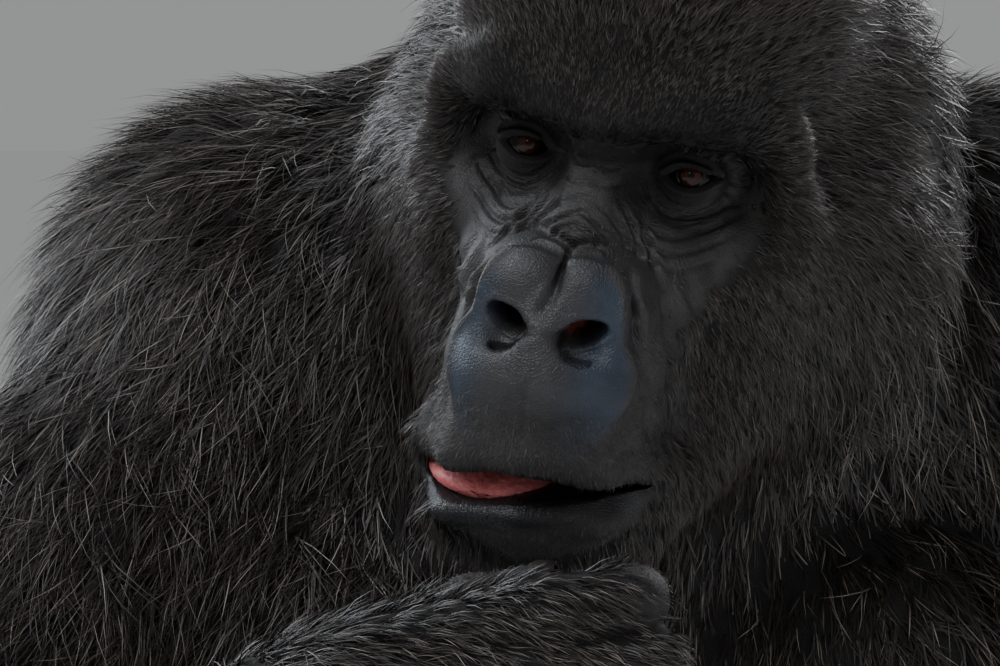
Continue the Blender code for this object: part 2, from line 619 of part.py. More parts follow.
# Each limb is parted from the trunk, and then at its own joints.
rest = body
for side, sign, joints in (
    ("r", -1, (rightShoulder, rightElbow, rightWrist, rightKnuckles)),
    ("l", 1, (leftShoulder, leftElbow, leftWrist, leftKnuckles)),
):
    shoulder, elbow, wrist, knuckles = (np.array(joint) for joint in joints)
    wall = sleeve(along(shoulder, elbow, 0.02), along(shoulder, elbow, 0.90), armSleeveRadii)
    upperArm, rest, forearm = parted(rest, wall, along(shoulder, elbow, 0.6), 3)
    hand, forearm = split(forearm, wrist, unit(knuckles - wrist) + unit(wrist - elbow), 0.085,
                          along(wrist, knuckles, 0.6))
    upperArm.name, forearm.name, hand.name = "upper_arm_" + side, "forearm_" + side, "hand_" + side
    flip = np.array((sign, 1, 1))
    hip, knee, ankle = (np.array(joint) * flip for joint in (hipJoint, kneeJoint, ankleJoint))
    wall = sleeve(along(hip, knee, 0.20), along(hip, knee, 0.92), legSleeveRadii)
    thigh, rest, shank = parted(rest, wall, along(hip, knee, 0.7), 3)
    foot, shank = split(shank, ankle + (0, 0, 0.012), knee - ankle + (0, 0, 0.20), 0.120,
                        ankle + (0, -0.08, -0.045))
    thigh.name, shank.name, foot.name = "thigh_" + side, "shank_" + side, "foot_" + side

wall = sleeve(fromHead(headSleeve[0]), fromHead(headSleeve[1]), headSleeveRadii)
head, rest = parted(rest, wall, fromHead((0, 0.03, 0.05)))
wall = sleeve(*neckSleeve, neckSleeveRadii)
neck, rest = parted(rest, wall, (0, -0.08, 0.86))
chest, rest = split(rest, (0, 0, 0.470), (0, 0, 1), 0.60, (0, -0.08, 0.60))
belly, rump = split(rest, (0, 0, 0.235), (0, 0.25, 1), 0.60, (0, -0.10, 0.36))
mouthLine = fromHead((0, -0.030, -0.1345))
jaw, head = split(head, mouthLine, headMatrix @ np.array((-0.08, 0.38, 1)), 0.40, fromHead((0, -0.04, -0.162)))
head.name, neck.name, chest.name, belly.name = "head", "neck", "chest", "belly"
rump.name, jaw.name = "rump", "jaw"

for item in list(cutterCollection.objects):
    bpy.data.objects.remove(item, do_unlink=True)
black = material("bare black skin", skinBlack, 0.45)
coat = material("black coat", coatBlack, 0.8)
silver = material("silver coat", coatSilver, 0.8)
pink = material("tongue", mouthPink, 0.35)
brown = material("eye", eyeBrown, 0.08)
looks = {
    "eye_l": brown, "eye_r": brown, "tongue": pink, "ear_l": black, "ear_r": black, "hand_l": black,
    "hand_r": black, "foot_l": black, "foot_r": black, "head": black, "jaw": black, "belly": silver,
    "rump": silver,
}
for item in partCollection.objects:
    item.data.materials.clear()
    item.data.materials.append(looks.get(item.name, coat))
    item.data.shade_smooth()
    item.data.set_sharp_from_angle(angle=math.radians(50))
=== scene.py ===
import math

import bmesh
import bpy
import numpy as np
from mathutils import Euler, Matrix, Vector


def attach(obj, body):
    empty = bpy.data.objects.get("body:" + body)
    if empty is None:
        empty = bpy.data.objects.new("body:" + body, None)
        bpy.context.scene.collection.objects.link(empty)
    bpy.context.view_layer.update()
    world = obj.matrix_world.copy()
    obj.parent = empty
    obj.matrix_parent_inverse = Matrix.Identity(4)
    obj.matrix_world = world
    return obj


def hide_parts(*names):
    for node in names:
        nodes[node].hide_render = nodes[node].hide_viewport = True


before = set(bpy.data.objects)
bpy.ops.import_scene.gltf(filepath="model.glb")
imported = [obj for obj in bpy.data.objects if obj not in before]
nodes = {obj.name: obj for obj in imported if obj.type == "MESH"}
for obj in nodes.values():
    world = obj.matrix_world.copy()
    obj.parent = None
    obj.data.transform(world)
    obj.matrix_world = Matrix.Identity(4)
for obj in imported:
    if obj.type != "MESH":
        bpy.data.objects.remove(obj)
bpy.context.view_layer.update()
scene = bpy.context.scene
random = np.random.default_rng(11)

# the pose, the same as that of the solids, in metres
pose = {
    "eyeHeight": 0.900,
    "eyeForward": 0.380,
    "turn": math.radians(-13.0),
    "nod": math.radians(16.5),
    "lean": math.radians(11.3),
    "hip": (0.120, -0.080, 0.130),
    "knee": (0.335, -0.340, 0.275),
    "ankle": (0.290, -0.530, 0.075),
    "rightShoulder": (-0.168, -0.150, 0.790),
    "rightElbow": (-0.400, -0.345, 0.500),
    "rightWrist": (-0.120, -0.475, 0.655),
    "rightKnuckles": (-0.027, -0.506, 0.668),
    "leftShoulder": (0.200, -0.130, 0.800),
    "leftElbow": (0.460, -0.150, 0.450),
    "leftWrist": (0.550, -0.370, 0.190),
    "leftKnuckles": (0.566, -0.428, 0.092),
}
eyes = {
    "apart": 0.076,
    "radius": 0.0120,
    "slitHalfWidth": 0.0136,
    "slitHalfHeight": 0.0062,
    "slitAside": 0.0022,     # how far the slit's middle lies out from the eyeball's
    "slitUp": 0.0020,
    "floor": 0.0104,         # the lids end on a bowl of this radius, behind the eyeball's front
}
fingers = {"reach": (0.98, 1.06, 1.02, 0.86), "radius": 0.0145, "pitch": 0.0265, "toePitch": 0.0255}

headTurn = Matrix.Rotation(pose["lean"], 3, "Y") @ Matrix.Rotation(pose["turn"], 3, "Z")
headMatrix = np.array(headTurn @ Matrix.Rotation(pose["nod"], 3, "X"))
eyePoint = np.array((0.0, -pose["eyeForward"], pose["eyeHeight"]))


def fromHead(place):  # eyePoint + head rotation times the place, for one place or rows of them
    return eyePoint + np.asarray(place, float) @ headMatrix.T


def toHead(points):
    return (points - eyePoint) @ headMatrix


def along(a, b, share):
    return np.array(a) + share * (np.array(b) - np.array(a))


def unit(vectors):
    vectors = np.asarray(vectors, float)
    return vectors / (np.linalg.norm(vectors, axis=-1, keepdims=True) + 1e-12)


def distance(points, place=0.0):
    return np.linalg.norm(points - place, axis=1)


def smoothStep(low, high, value):  # 0 below low, 1 above high, 3t^2 - 2t^3 between
    share = np.clip((value - low) / (high - low), 0, 1)
    return share * share * (3 - 2 * share)


def between(value, start, full, end, fullAgain):  # rises from start to full, and from end to fullAgain
    return smoothStep(start, full, value) * smoothStep(end, fullAgain, value)


def bell(value, middle, width):  # exp(-((value - middle) / width)^2)
    return np.exp(-((value - middle) / width) ** 2)


def toward(colour, tone, *shares):  # colour + (tone - colour) times every share
    step = tone - colour
    for share in shares:
        step = step * share
    return colour + step


# an ellipsoid with its centre, radii and turn in degrees; blend is how widely it melts into those before it
def lump(centre, radii, turn=(0, 0, 0), blend=0.03):
    axes = np.array(Euler([math.radians(a) for a in turn]).to_matrix())
    centre, radii = np.array(centre, float), np.array(radii, float)
    return {"centre": centre, "radii": radii, "axes": axes, "blend": blend,
            "low": centre - radii.max(), "high": centre + radii.max()}


# a rod with round ends whose radius changes evenly from its start to its end
def limb(start, end, startRadius, endRadius, blend=0.02):
    start, end = np.array(start, float), np.array(end, float)
    thick = max(startRadius, endRadius)
    return {"start": start, "end": end, "from": startRadius, "to": endRadius, "blend": blend,
            "low": np.minimum(start, end) - thick, "high": np.maximum(start, end) + thick}


def chain(places, radii, blend):  # rods from each place to the next
    return [limb(places[i], places[i + 1], radii[i], radii[i + 1], blend) for i in range(len(places) - 1)]


def awayFrom(form, points):
    # ellipsoid: (k - 1) k / |q / r^2| with k = |q / r|; rod: distance to the axis less the radius there
    if "radii" in form:
        local = (points - form["centre"]) @ form["axes"]
        reach = np.linalg.norm(local / form["radii"], axis=1) + 1e-9
        steep = np.linalg.norm(local / form["radii"] ** 2, axis=1) + 1e-9 / form["radii"].min()
        return (reach - 1) * reach / steep
    line = form["end"] - form["start"]
    share = np.clip((points - form["start"]) @ line / (line @ line), 0, 1)
    radius = form["from"] + share * (form["to"] - form["from"])
    return np.linalg.norm(points - form["start"] - share[:, None] * line, axis=1) - radius


def smoothMin(a, b, blend):  # b + (a - b) h - k h (1 - h), with h = clamp(1/2 + (b - a) / 2k)
    share = np.clip(0.5 + 0.5 * (b - a) / blend, 0, 1)
    return b + (a - b) * share - blend * share * (1 - share)


meltReach = 0.09   # beyond this distance from a group of forms it is taken to be a metre away


def melted(forms, points):  # each form in turn joined to those before it by the smooth least distance
    low = np.min([form["low"] for form in forms], axis=0) - meltReach
    high = np.max([form["high"] for form in forms], axis=0) + meltReach
    near = np.all((points > low) & (points < high), axis=1)
    total = np.full(len(points), 1.0)
    if near.any():
        close = points[near]
        found = awayFrom(forms[0], close)
        for form in forms[1:]:
            found = smoothMin(found, awayFrom(form, close), form["blend"])
        total[near] = found
    return total


# the head's own places: from between the eyes, x to its left, y to the back, z up; most forms are mirrored
headForms = [
    lump((0, 0.088, 0.045), (0.076, 0.096, 0.088)),                     # braincase
    lump((0, 0.072, 0.100), (0.044, 0.085, 0.076), blend=0.05),         # crest
    lump((0.046, 0.062, 0.062), (0.042, 0.068, 0.064)),                 # temple
    lump((0, 0.150, 0.020), (0.085, 0.065, 0.095), blend=0.04),         # nape
    lump((0, 0.018, 0.056), (0.060, 0.040, 0.036)),                     # forehead
    limb((0.070, 0.016, -0.036), (0.090, 0.070, -0.022), 0.016, 0.018, 0.025),   # cheekbone arch
    lump((0.066, 0.056, -0.055), (0.034, 0.056, 0.060), blend=0.025),   # chewing muscle
    lump((0.066, 0.135, -0.030), (0.052, 0.056, 0.082)),                # ruff
    limb((0.028, -0.026, -0.150), (0.058, 0.060, -0.105), 0.024, 0.028, 0.02),   # jaw bone
    lump((0, 0.040, -0.105), (0.070, 0.075, 0.060)),                    # floor of the mouth
    lump((0, -0.034, -0.072), (0.049, 0.054, 0.046), blend=0.02),       # upper jaw
    lump((0, -0.050, -0.094), (0.049, 0.048, 0.035), blend=0.02),       # muzzle
    limb((0.028, -0.008, -0.042), (0.064, 0.010, -0.036), 0.018, 0.017, 0.014),  # cheekbone
    limb((0, -0.010, 0.006), (0, -0.034, -0.028), 0.013, 0.017, 0.012),  # bridge
    limb((0.010, -0.010, -0.012), (0.038, -0.020, -0.052), 0.0150, 0.0170, 0.018),  # slope beside the nose
    limb((0, -0.022, 0.026), (0.048, -0.014, 0.038), 0.0150, 0.0130, 0.012),     # brow
    limb((0.048, -0.014, 0.038), (0.074, 0.006, 0.022), 0.0130, 0.0110, 0.012),
    limb((0.074, 0.006, 0.022), (0.082, 0.022, -0.020), 0.0110, 0.0120, 0.014),  # outer rim of the orbit
    lump((0.0155, -0.050, -0.047), (0.0235, 0.023, 0.019), blend=0.008),         # pad of the nose
    limb((0.012, -0.066, -0.042), (0.030, -0.061, -0.052), 0.0105, 0.0100, 0.008),  # wing of the nostril
    limb((0.030, -0.061, -0.052), (0.0315, -0.064, -0.067), 0.0100, 0.0085, 0.006),
    limb((0.0315, -0.064, -0.067), (0.020, -0.076, -0.077), 0.0085, 0.0070, 0.006),
    limb((0, -0.074, -0.048), (0, -0.083, -0.074), 0.0055, 0.0050, 0.006),       # between the nostrils
    lump((0, -0.036, -0.150), (0.044, 0.044, 0.027), blend=0.02),       # lower jaw
    lump((0, -0.050, -0.160), (0.030, 0.026, 0.022), blend=0.015),      # chin
]
earTurn = math.radians(38)
earOut = np.array((math.cos(earTurn), -math.sin(earTurn), 0))       # away from the ear's flat side
earBack = np.array((math.sin(earTurn), math.cos(earTurn), 0))


def onEar(back, up, out=0.0):
    return np.array((0.103, 0.122, 0.008)) + back * earBack + np.array((0, 0, up)) + out * earOut


earPlate = lump(onEar(0.002, 0.000, -0.002), (0.0085, 0.0200, 0.0280), turn=(0, 0, -38), blend=0.006)
earRoot = lump((0.092, 0.120, 0.006), (0.018, 0.014, 0.020), blend=0.010)
earDish = lump(onEar(-0.002, 0.002, 0.0085), (0.0085, 0.0130, 0.0190), turn=(0, 0, -38))
upperLip = chain([(0, -0.0905, -0.111), (0.030, -0.079, -0.112), (0.050, -0.054, -0.113),
                  (0.054, -0.031, -0.117)], [0.0085, 0.0085, 0.0078, 0.0050], 0.014)
lowerLip = chain([(0, -0.083, -0.1415), (0.030, -0.072, -0.1400), (0.050, -0.046, -0.1310),
                  (0.056, -0.032, -0.1225)], [0.0085, 0.0085, 0.0075, 0.0060], 0.008)
eyelids = lump((eyes["apart"] / 2, 0, 0), (0.0150, 0.0148, 0.0146), blend=0.011)
eyeHollow = lump((eyes["apart"] / 2, -0.024, -0.001), (0.0230, 0.0230, 0.0150))
nostrilDish = lump((0.0180, -0.084, -0.0620), (0.0125, 0.009, 0.0110))


# skull, lips, lids and ears melted together, less the hollows of the eyes, ears and nostrils
def headField(points):
    points = points.copy()
    points[:, 0] = np.abs(points[:, 0])
    total = melted(headForms, points)
    total = smoothMin(total, melted(upperLip, points), 0.013)
    total = smoothMin(total, melted(lowerLip, points), 0.010)
    total = -smoothMin(-total, awayFrom(eyeHollow, points), 0.010)
    total = smoothMin(total, awayFrom(eyelids, points), eyelids["blend"])
    ear = -smoothMin(-melted([earRoot, earPlate], points), awayFrom(earDish, points), 0.003)
    total = smoothMin(total, ear, 0.006)
    return -smoothMin(-total, awayFrom(nostrilDish, points), 0.006)


trunkForms = [
    lump((0, 0, 0.150), (0.200, 0.185, 0.165)),                       # rump
    lump((0.110, -0.005, 0.110), (0.115, 0.140, 0.118), blend=0.05),  # buttock
    lump((0, -0.120, 0.350), (0.218, 0.215, 0.205), blend=0.07),      # belly
    lump((0, 0.000, 0.400), (0.200, 0.165, 0.220), blend=0.07),       # loins
    lump((0, -0.095, 0.600), (0.225, 0.195, 0.215), blend=0.07),      # ribs
    lump((0, -0.030, 0.690), (0.195, 0.150, 0.170), blend=0.05),      # upper back
    lump((0, -0.060, 0.810), (0.140, 0.125, 0.105), blend=0.06),      # hump of the shoulders
    lump((0.105, -0.225, 0.640), (0.110, 0.075, 0.095)),              # breast muscle
    lump((0.175, -0.055, 0.580), (0.080, 0.120, 0.180), blend=0.06),  # back muscle
    limb((0.060, -0.100, 0.865), (0.155, -0.140, 0.840), 0.085, 0.078, 0.05),    # top of the shoulder
]
neckForms = [
    limb(fromHead((0, 0.135, 0.010)), (0, -0.080, 0.820), 0.092, 0.135, 0.05),
    limb(fromHead((0, 0.045, -0.100)), (0, -0.165, 0.720), 0.070, 0.100, 0.05),
    limb(fromHead((0.070, 0.110, -0.065)), (0.100, -0.150, 0.780), 0.060, 0.085, 0.05),
    limb(fromHead((-0.070, 0.110, -0.065)), (-0.090, -0.150, 0.780), 0.060, 0.085, 0.05),
]


# rods between the joints, with more muscle on the shoulder, down the upper arm and below the elbow
def armForms(shoulder, elbow, wrist, deltoid):
    return [
        lump(deltoid, (0.098, 0.102, 0.100), blend=0.04),
        limb(shoulder, elbow, 0.082, 0.060, 0.05),
        limb(along(shoulder, elbow, 0.30), along(shoulder, elbow, 0.65), 0.080, 0.074, 0.04),
        limb(elbow, along(elbow, wrist, 0.35), 0.062, 0.066, 0.03),
        limb(along(elbow, wrist, 0.35), wrist, 0.062, 0.040, 0.03),
    ]


def rightHandForms():  # a loose fist, its back to the front and its thumb side up
    wrist, knuckles = np.array(pose["rightWrist"]), np.array(pose["rightKnuckles"])
    ahead = unit(knuckles - wrist)
    inward = unit(np.cross((0, 0, 1), ahead))
    inward = inward if inward[1] > 0 else -inward
    up = unit(np.cross(inward, ahead))
    up = up if up[2] > 0 else -up
    palm, digits = [limb(wrist, wrist + 0.55 * (knuckles - wrist), 0.036, 0.030, 0.02)], []
    for i, reach in enumerate(fingers["reach"]):
        base = knuckles + (1.35 - i) * fingers["pitch"] * up
        heel = wrist + (1.1 - i) * 0.017 * up + 0.02 * ahead
        bend = base + 0.036 * reach * ahead + 0.026 * inward
        curl = base + 0.014 * ahead + 0.058 * inward - 0.002 * up
        end = base - 0.014 * ahead + 0.050 * inward
        palm.append(limb(heel, base, 0.024, 0.0165, 0.012))
        digits += chain([base, bend, curl, end], [0.0160, fingers["radius"], 0.0135, 0.0120], 0.004)
    thumb = [wrist + 0.020 * ahead + 0.022 * up + 0.012 * inward,
             wrist + 0.055 * ahead + 0.040 * up + 0.034 * inward,
             wrist + 0.088 * ahead + 0.046 * up + 0.040 * inward]
    return palm, digits, chain(thumb, [0.020, 0.0140, 0.0115], 0.008)


def leftHandForms():  # set down on the backs of its middle finger bones
    wrist, knuckles = np.array(pose["leftWrist"]), np.array(pose["leftKnuckles"])
    ahead = unit((knuckles - wrist) * (1, 1, 0))
    across = np.array((-ahead[1], ahead[0], 0))
    palm, digits = [limb(wrist, wrist + 0.4 * (knuckles - wrist), 0.037, 0.032, 0.02)], []
    for i, reach in enumerate(fingers["reach"]):
        side = (i - 1.5) * fingers["pitch"] * across
        base = knuckles + side
        bend = (base + 0.050 * reach * ahead) * (1, 1, 0) + (0, 0, 0.0165)
        back = bend - 0.040 * reach * ahead - (0, 0, 0.0030)
        end = back - 0.022 * ahead + (0, 0, 0.022)
        palm.append(limb(wrist + 0.55 * side, base, 0.026, 0.0185, 0.014))
        digits += chain([base, bend, back, end], [0.0180, 0.0160, 0.0150, 0.0125], 0.004)
    thumb = [wrist - 0.030 * across - (0, 0, 0.010), knuckles - 0.050 * across + 0.004 * ahead,
             knuckles - 0.044 * across + 0.034 * ahead - (0, 0, 0.020)]
    return palm, digits, chain(thumb, [0.020, 0.0140, 0.0115], 0.008)


hip, knee, ankle = (np.array(pose[name]) for name in ("hip", "knee", "ankle"))
calf = np.array((0, 0.019, 0))
legForms = [
    limb(hip, knee, 0.108, 0.076, 0.03),
    limb(knee, ankle, 0.070, 0.040, 0.03),
    limb(along(knee, ankle, 0.25) + calf, along(knee, ankle, 0.60) + calf, 0.058, 0.046, 0.03),
]
footAhead = unit((0.14, -1, 0))
footAcross = np.array((-footAhead[1], footAhead[0], 0))
heel = np.array((ankle[0], ankle[1] + 0.020, 0.036))


def footForms():  # heel and sole, four toes in two bones each, and a big toe that stands off
    sole = [lump(heel + (0, 0.012, 0.004), (0.036, 0.046, 0.042), blend=0.02),
            limb(ankle, heel + 0.05 * footAhead, 0.040, 0.036, 0.03)]
    toes = []
    for i in range(4):
        side = (i - 1.3) * fingers["toePitch"] * footAcross
        root = heel + 0.165 * footAhead + side - (0, 0, 0.010)
        reach = (1.0, 1.02, 0.95, 0.82)[i]
        middle = root + 0.050 * reach * footAhead + (0, 0, 0.004)
        end = root + 0.082 * reach * footAhead - (0, 0, 0.0125)
        sole.append(limb(heel + 0.02 * footAhead + 0.45 * side, root, 0.032, 0.024, 0.02))
        toes += chain([root, middle, end], [0.0190, 0.0155, 0.0135], 0.005)
    big = [heel + 0.085 * footAhead - 0.028 * footAcross,
           heel + 0.125 * footAhead - 0.058 * footAcross - (0, 0, 0.012),
           heel + 0.165 * footAhead - 0.070 * footAcross - (0, 0, 0.018)]
    return sole, toes, chain(big, [0.026, 0.0200, 0.0165], 0.012)


rightArm = armForms(pose["rightShoulder"], pose["rightElbow"], pose["rightWrist"], (-0.150, -0.145, 0.800))
leftArm = armForms(pose["leftShoulder"], pose["leftElbow"], pose["leftWrist"], (0.190, -0.140, 0.805))
rightPalm, rightFingers, rightThumb = rightHandForms()
leftPalm, leftFingers, leftThumb = leftHandForms()
sole, toes, bigToe = footForms()


def nearJoint(points, joint, inner, outer):  # 1 near the joint, 0 away from it
    return smoothStep(0, 1, (outer - distance(points, np.array(joint))) / (outer - inner))


# distance to the whole body: its parts melt widely at the hips, shoulders and neck and hardly at all elsewhere
def bodyField(points):
    mirrored = points.copy()
    mirrored[:, 0] = np.abs(mirrored[:, 0])
    legs = smoothMin(melted(legForms, mirrored), melted(sole + toes, mirrored), 0.015)
    legs = smoothMin(legs, melted(bigToe, mirrored), 0.010)
    total = smoothMin(melted(trunkForms, mirrored), legs, 0.004 + 0.055 * nearJoint(mirrored, hip, 0.10, 0.24))
    for arm, palm, thumb, shoulder in (
        (rightArm, rightPalm + rightFingers, rightThumb, pose["rightShoulder"]),
        (leftArm, leftPalm + leftFingers, leftThumb, pose["leftShoulder"]),
    ):
        hand = smoothMin(melted(palm, points), melted(thumb, points), 0.008)
        reach = smoothMin(melted(arm, points), hand, 0.012)
        total = smoothMin(total, reach, 0.004 + 0.06 * nearJoint(points, shoulder, 0.12, 0.26))
    inHead = toHead(points)
    close = distance(inHead, (0, 0.04, 0)) < 0.34
    head = np.full(len(points), 1.0)
    if close.any():
        head[close] = headField(inHead[close])
    nape = nearJoint(inHead, (0, 0.13, -0.02), 0.10, 0.22)
    neck = smoothMin(melted(neckForms, points), head, 0.004 + 0.045 * nape)
    total = smoothMin(total, neck, 0.004 + 0.05 * nearJoint(points, (0, -0.12, 0.80), 0.14, 0.26))
    return np.maximum(total, -points[:, 2])


newton = {"reach": 0.0003, "leastSlope": 0.25, "longestStep": 0.008}


def ontoField(points, rounds):  # Newton steps p - f grad f / |grad f|^2
    reach, longest = newton["reach"], newton["longestStep"]
    for _ in range(rounds):
        here = bodyField(points)
        slope = np.stack([(bodyField(points + step) - here) / reach for step in reach * np.eye(3)], 1)
        size = np.maximum((slope ** 2).sum(1), newton["leastSlope"])
        points = points - np.clip(here / size, -longest, longest)[:, None] * slope
    return points


skin = {
    "voxel": 0.0127,         # mesh size of the body, halved at each of the four levels below
    "faceBox": ((-0.082, 0.082), (-0.12, 0.022), (-0.178, 0.050)),
    "innerFace": ((-0.064, 0.064), (-0.12, 0.010), (-0.158, 0.018)),
    "sculptBox": ((-0.090, 0.090), (-0.13, 0.030), (-0.185, 0.065)),
    "earPlace": (0.107, 0.120, 0.008),
    "headReach": 0.22,       # the face's own colours and stubble end this far from between the eyes
    "creaseDepth": 1.5,      # times the depth in the table of creases
    "creaseRidge": 0.45,     # height of the ridge beside a crease, as a share of its depth
    "padRaised": 0.0050,     # the pad of the nose stands up from the face
    "padGroove": 0.0030,
    "padRim": 0.0010,
    "cleftDepth": 0.0042,    # between the nostrils
    "lipFurrow": 0.0007,     # from the cleft down to the upper lip
    "lowerLip": 0.0022,      # its roll, and as much again on its right
    "orbitDepth": 0.0050,    # hollow between the upper lid and the brow
    "browHeight": 0.0060,
    "lipLines": 0.00022,     # height of the uprights on the lips
    "lipLinePitch": 0.0034,
    "nostrilDepth": 0.017,
    "nostrilRim": 0.0007,
    "mouthDepth": 0.026,
    "lipRoll": 0.0014,
    "lidEdge": 0.0006,
}


def rowsOf(elements, name, stored=np.float32, used=float):
    values = np.empty(len(elements) * 3, stored)
    elements.foreach_get(name, values)
    return values.reshape(-1, 3).astype(used)


def meshPoints(mesh):
    return rowsOf(mesh.vertices, "co")


def setPoints(mesh, points):
    mesh.vertices.foreach_set("co", points.astype(np.float32).ravel())
    mesh.update()


def meshNormals(mesh):
    return rowsOf(mesh.vertex_normals, "vector")


def addForm(bm, form, place, sides):  # a ball scaled to the ellipsoid, or a ball drawn out along the rod
    for side in sides:
        if "radii" in form:
            made = bmesh.ops.create_icosphere(bm, subdivisions=3, radius=1.0)["verts"]
            for vert in made:
                spot = form["centre"] + form["axes"] @ (np.array(vert.co) * form["radii"])
                vert.co = place(spot * (side, 1, 1))
        else:
            made = bmesh.ops.create_uvsphere(bm, u_segments=16, v_segments=9, radius=1.0)["verts"]
            turn = Vector(form["end"] - form["start"]).to_track_quat("Z", "Y")
            for vert in made:
                end, radius = (form["end"], form["to"]) if vert.co.z > 0 else (form["start"], form["from"])
                vert.co = place((np.array(turn @ vert.co) * radius + end) * (side, 1, 1))
        if side < 0:
            bmesh.ops.reverse_faces(bm, faces=list({face for vert in made for face in vert.link_faces}))


def applied(item):  # gives the item the mesh that its modifiers make
    bpy.context.view_layer.update()
    mesh = bpy.data.meshes.new_from_object(item.evaluated_get(bpy.context.evaluated_depsgraph_get()))
    item.modifiers.clear()
    item.data = mesh


def newObject(name, mesh):
    item = bpy.data.objects.new(name, mesh)
    scene.collection.objects.link(item)
    return item


def finer(item, chosen):  # splits the faces whose middles are chosen, once
    mesh = item.data
    flags = chosen(rowsOf(mesh.polygons, "center"))
    for other in bpy.context.selected_objects:   # edit mode takes in every selected object
        other.select_set(False)
    bpy.context.view_layer.objects.active = item
    item.select_set(True)
    mesh.vertices.foreach_set("select", np.zeros(len(mesh.vertices), bool))
    mesh.edges.foreach_set("select", np.zeros(len(mesh.edges), bool))
    mesh.polygons.foreach_set("select", flags)
    bpy.ops.object.mode_set(mode="EDIT")
    bpy.ops.mesh.select_mode(type="FACE")
    bpy.ops.mesh.subdivide(number_cuts=1, quadcorner="INNERVERT")
    bpy.ops.object.mode_set(mode="OBJECT")


def inBox(places, box):
    return np.all([(places[:, i] > box[i][0]) & (places[:, i] < box[i][1]) for i in range(3)], axis=0)


def fineParts(places):  # head, hands and feet
    inHead = toHead(places)
    head = (distance(inHead, (0, 0.02, -0.03)) < 0.185) & (inHead[:, 1] < 0.045)
    head |= distance(np.abs(inHead), skin["earPlace"]) < 0.050
    fist = distance(places, along(pose["rightWrist"], pose["rightKnuckles"], 0.9)) < 0.090
    left = distance(places, along(pose["leftWrist"], pose["leftKnuckles"], 1.1)) < 0.105
    feet = (places[:, 2] < 0.09) & (places[:, 1] < -0.55)
    return head | fist | left | feet


def finerParts(places):  # the face, the ears and the raised fist
    inHead = toHead(places)
    fist = distance(places, along(pose["rightWrist"], pose["rightKnuckles"], 1.2)) < 0.070
    ears = distance(np.abs(inHead), skin["earPlace"]) < 0.038
    return inBox(inHead, skin["faceBox"]) | fist | ears


def innerFace(places):
    return inBox(toHead(places), skin["innerFace"])


def eyesAndMouth(places):  # eye slits, nostrils, lips, the edge of the nose pad and the folds under the eyes
    inHead = toHead(places)
    inHead[:, 0] = np.abs(inHead[:, 0])
    eye = distance((inHead - (0.039, -0.012, -0.004)) / (0.024, 0.05, 0.017)) < 1
    nostril = distance((inHead - (0.018, -0.080, -0.061)) / (0.015, 0.03, 0.014)) < 1
    mouth = inBox(inHead, ((-1, 0.058), (-0.12, -0.024), (-0.138, -0.115)))
    _, edge = noseHeight(inHead[:, 0], inHead[:, 2])
    front = (inHead[:, 1] < -0.030) & (inHead[:, 2] < -0.020) & (inHead[:, 2] > -0.090)
    folds = inBox(inHead, ((-1, 0.058), (-0.12, 0), (-0.034, -0.012)))
    return eye | nostril | mouth | (front & (np.abs(edge) < 0.0050)) | folds


def alongLine(across, up, places):  # distance in the plane to a bent line, and how far along it, 0 to 1
    best, share = np.full(len(across), 9.0), np.zeros(len(across))
    steps = len(places) - 1
    for i in range(steps):
        (x0, z0), (x1, z1) = places[i], places[i + 1]
        dx, dz = x1 - x0, z1 - z0
        part = np.clip(((across - x0) * dx + (up - z0) * dz) / (dx * dx + dz * dz), 0, 1)
        away = np.hypot(across - x0 - part * dx, up - z0 - part * dz)
        share = np.where(away < best, (i + part) / steps, share)
        best = np.minimum(best, away)
    return best, share


# creases of one half of the face, across and up in mm from between the eyes, with depth and width in mm
creases = [
    ([(25, -5), (31, -10), (38, -12), (46, -11), (53, -6)], 0.9, 0.8),
    ([(22, -8), (30, -15), (39, -18), (48, -17), (58, -10)], 1.3, 1.0),
    ([(20, -12), (29, -20), (40, -24), (51, -22), (62, -14)], 1.2, 1.1),
    ([(21, -18), (30, -26), (41, -30), (53, -28), (64, -20)], 0.9, 1.1),
    ([(26, -28), (36, -34), (47, -36), (58, -32)], 0.6, 1.0),
    ([(24, -10), (30, -16.5), (39, -20.5), (49, -19)], 0.5, 0.6),
    ([(34, -14.5), (44, -14), (54, -10)], 0.5, 0.6),
    ([(25, 4), (31, 9.5), (39, 11), (48, 9), (54, 3)], 1.3, 1.0),
    ([(52, -2), (60, -3), (68, -7)], 0.8, 0.9),
    ([(53, 1), (61, 3), (70, 2)], 0.8, 0.9),
    ([(52, -6), (59, -10), (66, -16)], 0.7, 0.9),
    ([(13, -6), (21, -18), (31, -34), (41, -52)], 1.5, 1.2),
    ([(17, -6), (26, -20), (37, -36), (46, -54)], 1.4, 1.2),
    ([(10, -10), (17, -19), (27, -31)], 0.9, 1.0),
    ([(41, -40), (47, -55), (49, -72), (48, -90), (52, -108)], 2.0, 2.2),
    ([(48, -36), (56, -52), (60, -70)], 1.2, 2.0),
    ([(0, 6), (7, 4), (13, 6)], 1.0, 1.1),
    ([(0, -1), (8, -3), (15, -2)], 1.0, 1.0),
    ([(0, -7), (7, -10), (14, -16)], 0.8, 0.9),
    ([(0, -13), (8, -17), (17, -25)], 0.8, 0.9),
    ([(0, -18), (9, -22), (20, -30), (32, -35)], 0.7, 0.8),
    ([(4, -15), (12, -20), (22, -27)], 0.5, 0.7),
    ([(6, 14), (9, 24), (8, 36)], 0.8, 1.5),
]


def rounded(places):  # cuts each corner twice, at a quarter and three quarters of every side
    places = np.array(places, float)
    for _ in range(2):
        before, after = places[:-1], places[1:]
        cut = np.stack([0.75 * before + 0.25 * after, 0.25 * before + 0.75 * after], 1).reshape(-1, 2)
        places = np.concatenate([places[:1], cut, places[-1:]])
    return places


